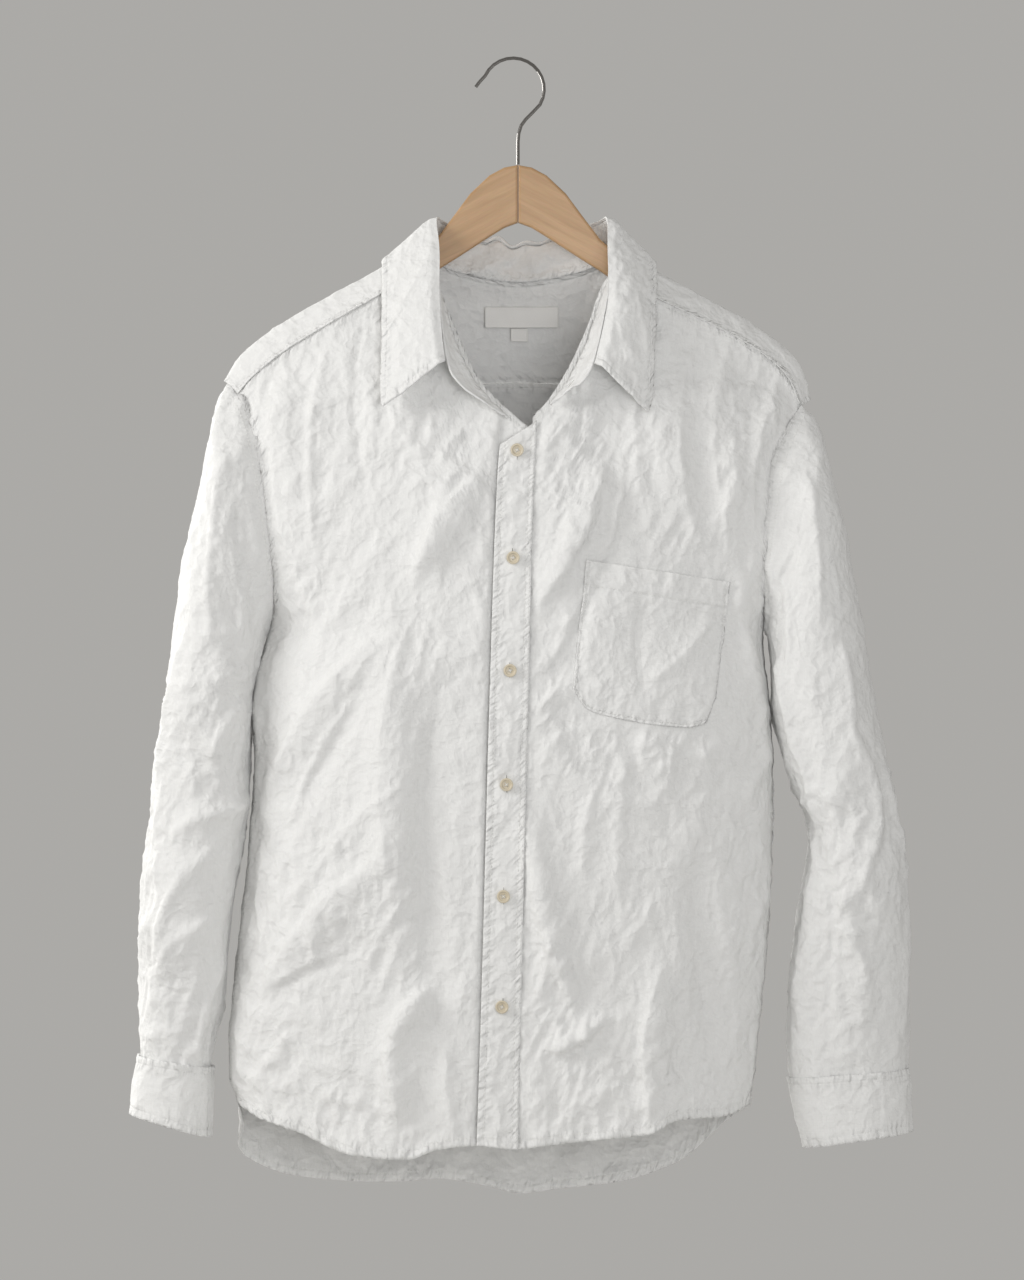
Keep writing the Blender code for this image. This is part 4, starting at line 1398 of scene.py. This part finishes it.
def plainMaterial(name, colour, roughness, metallic=0.0, grainScale=600, spread=0.08, bump=0.0001):
    material, tree, shader = newMaterial(name)
    shader.inputs["Roughness"].default_value = roughness
    shader.inputs["Metallic"].default_value = metallic
    place = addNode(tree, "TexCoord", {}).outputs["Object"]
    inputs = {"Vector": place, "Scale": grainScale, "Detail": 3}
    grain = addNode(tree, "TexNoise", inputs).outputs["Fac"]
    dark = [c * (1 - spread) for c in colour]
    pale = [min(c * (1 + spread), 1) for c in colour]
    tree.links.new(addTint(tree, grain, dark, pale), shader.inputs["Base Color"])
    tree.links.new(addBump(tree, grain, 0.3, bump), shader.inputs["Normal"])
    return material


wood = {
    "pale": (0.56, 0.35, 0.185),
    "dark": (0.45, 0.27, 0.13),
    "slope": 28,  # degrees that each arm, and its grain, runs down
    "bands": (7, 60, 110),
    "flecks": (110, 900, 1500),
    "fleckShare": 0.22,
}


def woodMaterial(name, side):
    material, tree, shader = newMaterial(name)
    shader.inputs["Roughness"].default_value = 0.42
    shader.inputs["Coat Weight"].default_value = 0.15
    shader.inputs["Coat Roughness"].default_value = 0.35
    place = addNode(tree, "TexCoord", {}).outputs["Object"]
    inputs = {"Vector": place, "Rotation": (0, math.radians(-side * wood["slope"]), 0)}
    turned = addNode(tree, "Mapping", inputs).outputs["Vector"]
    stretch = addNode(tree, "Mapping", {"Vector": turned, "Scale": wood["bands"]})
    inputs = {"Vector": stretch.outputs["Vector"], "Scale": 1.6, "Detail": 5, "Distortion": 0.5}
    bands = addNode(tree, "TexNoise", inputs)
    pores = addNode(tree, "Mapping", {"Vector": turned, "Scale": wood["flecks"]})
    flecks = addNode(tree, "TexNoise", {"Vector": pores.outputs["Vector"], "Scale": 1.0})
    ramp = addNode(tree, "ValToRGB", {"Fac": bands.outputs["Fac"]})
    for stop, at, colour in zip(ramp.color_ramp.elements, (0.32, 0.66), ("dark", "pale")):
        stop.position = at
        stop.color = (*wood[colour], 1)
    base, mark = ramp.outputs["Color"], flecks.outputs["Color"]
    inputs = {"Factor": wood["fleckShare"], "A": base, "B": mark}
    tint = addNode(tree, "Mix", inputs, data_type="RGBA", blend_type="MULTIPLY")
    tree.links.new(tint.outputs["Result"], shader.inputs["Base Color"])
    normal = addBump(tree, flecks.outputs["Fac"], 0.15, 0.0002)
    tree.links.new(normal, shader.inputs["Normal"])
    return material


def dressHanger():
    wire = plainMaterial("hookSteel", (0.22, 0.21, 0.20), 0.24, 1.0, 300, 0.05, 0.00004)
    for name, side in (("hanger_arm_right", -1), ("hanger_arm_left", 1), ("hanger_hook", 0)):
        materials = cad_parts[name].data.materials
        materials.clear()
        materials.append(woodMaterial("beech_" + name, side) if side else wire)


cuts = (
    # piece, node, cut width, length, area of the cut
    ("front_right", "front_right_panel", 0.300, 0.790, 0.195),
    ("front_left", "front_left_panel", 0.290, 0.780, 0.185),
    ("placket", "front_placket", 0.036, 0.650, 0.0225),
    ("back", "back_panel", 0.570, 0.730, 0.375),
    ("yoke", "yoke", 0.560, 0.230, 0.088),
    ("sleeve_right", "sleeve_right", 0.440, 0.620, 0.205),
    ("sleeve_left", "sleeve_left", 0.440, 0.620, 0.205),
    ("cuff_right", "cuff_right", 0.250, 0.060, 0.0150),
    ("cuff_left", "cuff_left", 0.250, 0.060, 0.0150),
    ("collar_stand", "collar_stand", 0.440, 0.036, 0.0145),
    ("collar_leaf", "collar_leaf", 0.440, 0.080, 0.0270),
    ("pocket", "chest_pocket", 0.128, 0.142, 0.0170),
    ("neck_label", "neck_label", 0.065, 0.018, 0.00117),
    ("neck_tab", "size_tab", 0.015, 0.0115, 0.00017),
)


def declareCloth():
    for name, node, width, length, area in cuts:
        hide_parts(node)


view = {"distance": 6.0, "centre": (-0.001, 0, -0.5105), "lens": 191.8, "sensor": 36}

lamps = (
    # name, place, size, watts, colour
    ("window", (-2.0, -0.8, 0.35), 1.0, 30, (1.0, 0.99, 0.975)),
    ("backGlow", (-1.5, 1.1, -0.2), 1.0, 22, (1.0, 0.99, 0.97)),
    ("fill", (0.7, -2.5, -0.62), 1.3, 14, (0.98, 0.985, 1.0)),
    ("neckFill", (0.1, -1.1, -0.2), 0.3, 1.6, (0.99, 0.99, 1.0)),
)
lampsAim = (0, 0, -0.5)
backdrop = (0.41, 0.402, 0.386, 1)
floorAt = {"radius": 0.65, "z": -1.2}


def makeStudio():
    camera = bpy.data.cameras.new("camera")
    camera.sensor_width = view["sensor"]
    camera.lens = view["lens"]
    holder = linked("camera", camera)
    x, y, z = view["centre"]
    holder.location = (x, y - view["distance"], z)
    holder.rotation_euler = (math.pi / 2, 0, 0)
    bpy.context.scene.camera = holder

    for name, place, size, watts, colour in lamps:
        light = bpy.data.lights.new(name, "AREA")
        light.size = size
        light.energy = watts
        light.color = colour
        lamp = linked(name, light)
        lamp.location = place
        aim = Vector(lampsAim) - Vector(place)
        lamp.rotation_euler = aim.to_track_quat("-Z", "Y").to_euler()

    world = bpy.data.worlds.new("studio")
    world.use_nodes = True
    sky = world.node_tree.nodes["Background"]
    sky.inputs["Color"].default_value = backdrop
    sky.inputs["Strength"].default_value = 1.0
    bpy.context.scene.world = world
    bpy.context.scene.view_settings.view_transform = "Standard"

    form = bmesh.new()
    bmesh.ops.create_circle(form, cap_ends=True, segments=64, radius=floorAt["radius"])
    bmesh.ops.translate(form, verts=form.verts, vec=(0, 0, floorAt["z"]))
    paint = plainMaterial("floorPaint", (0.72, 0.715, 0.70), 0.8, 0, 40, 0.02, 0.0002)
    linked("floor", meshOf("floor", form, paint))


pieces, grids = {}, {}
linen = linenMaterial("washedLinen")
tape = plainMaterial("labelTape", (0.87, 0.86, 0.835), 0.75, 0, 900, 0.03, 0.0001)
thread = plainMaterial("sewingThread", (0.82, 0.82, 0.80), 0.7)
shell = plainMaterial("buttonShell", (0.60, 0.53, 0.40), 0.3, 0, 160, 0.16, 0.00005)
makeFronts(linen)
makePlacket(linen)
print("fronts made")
makeYoke(linen)
makeBack(linen)
print("back made")
makeSleeves(linen)
makeCuffs(linen)
print("sleeves made")
makeCollar(linen)
makePocket(linen)
makeLabels(tape)
print("collar, pocket and labels made")
makeButtons(shell, thread)
makeStitches(thread)
makeButtonholes(thread, plainMaterial("slitShade", (0.30, 0.29, 0.27), 0.9))
print("buttons and stitches made")
dressHanger()
declareCloth()
makeStudio()
print("studio made")
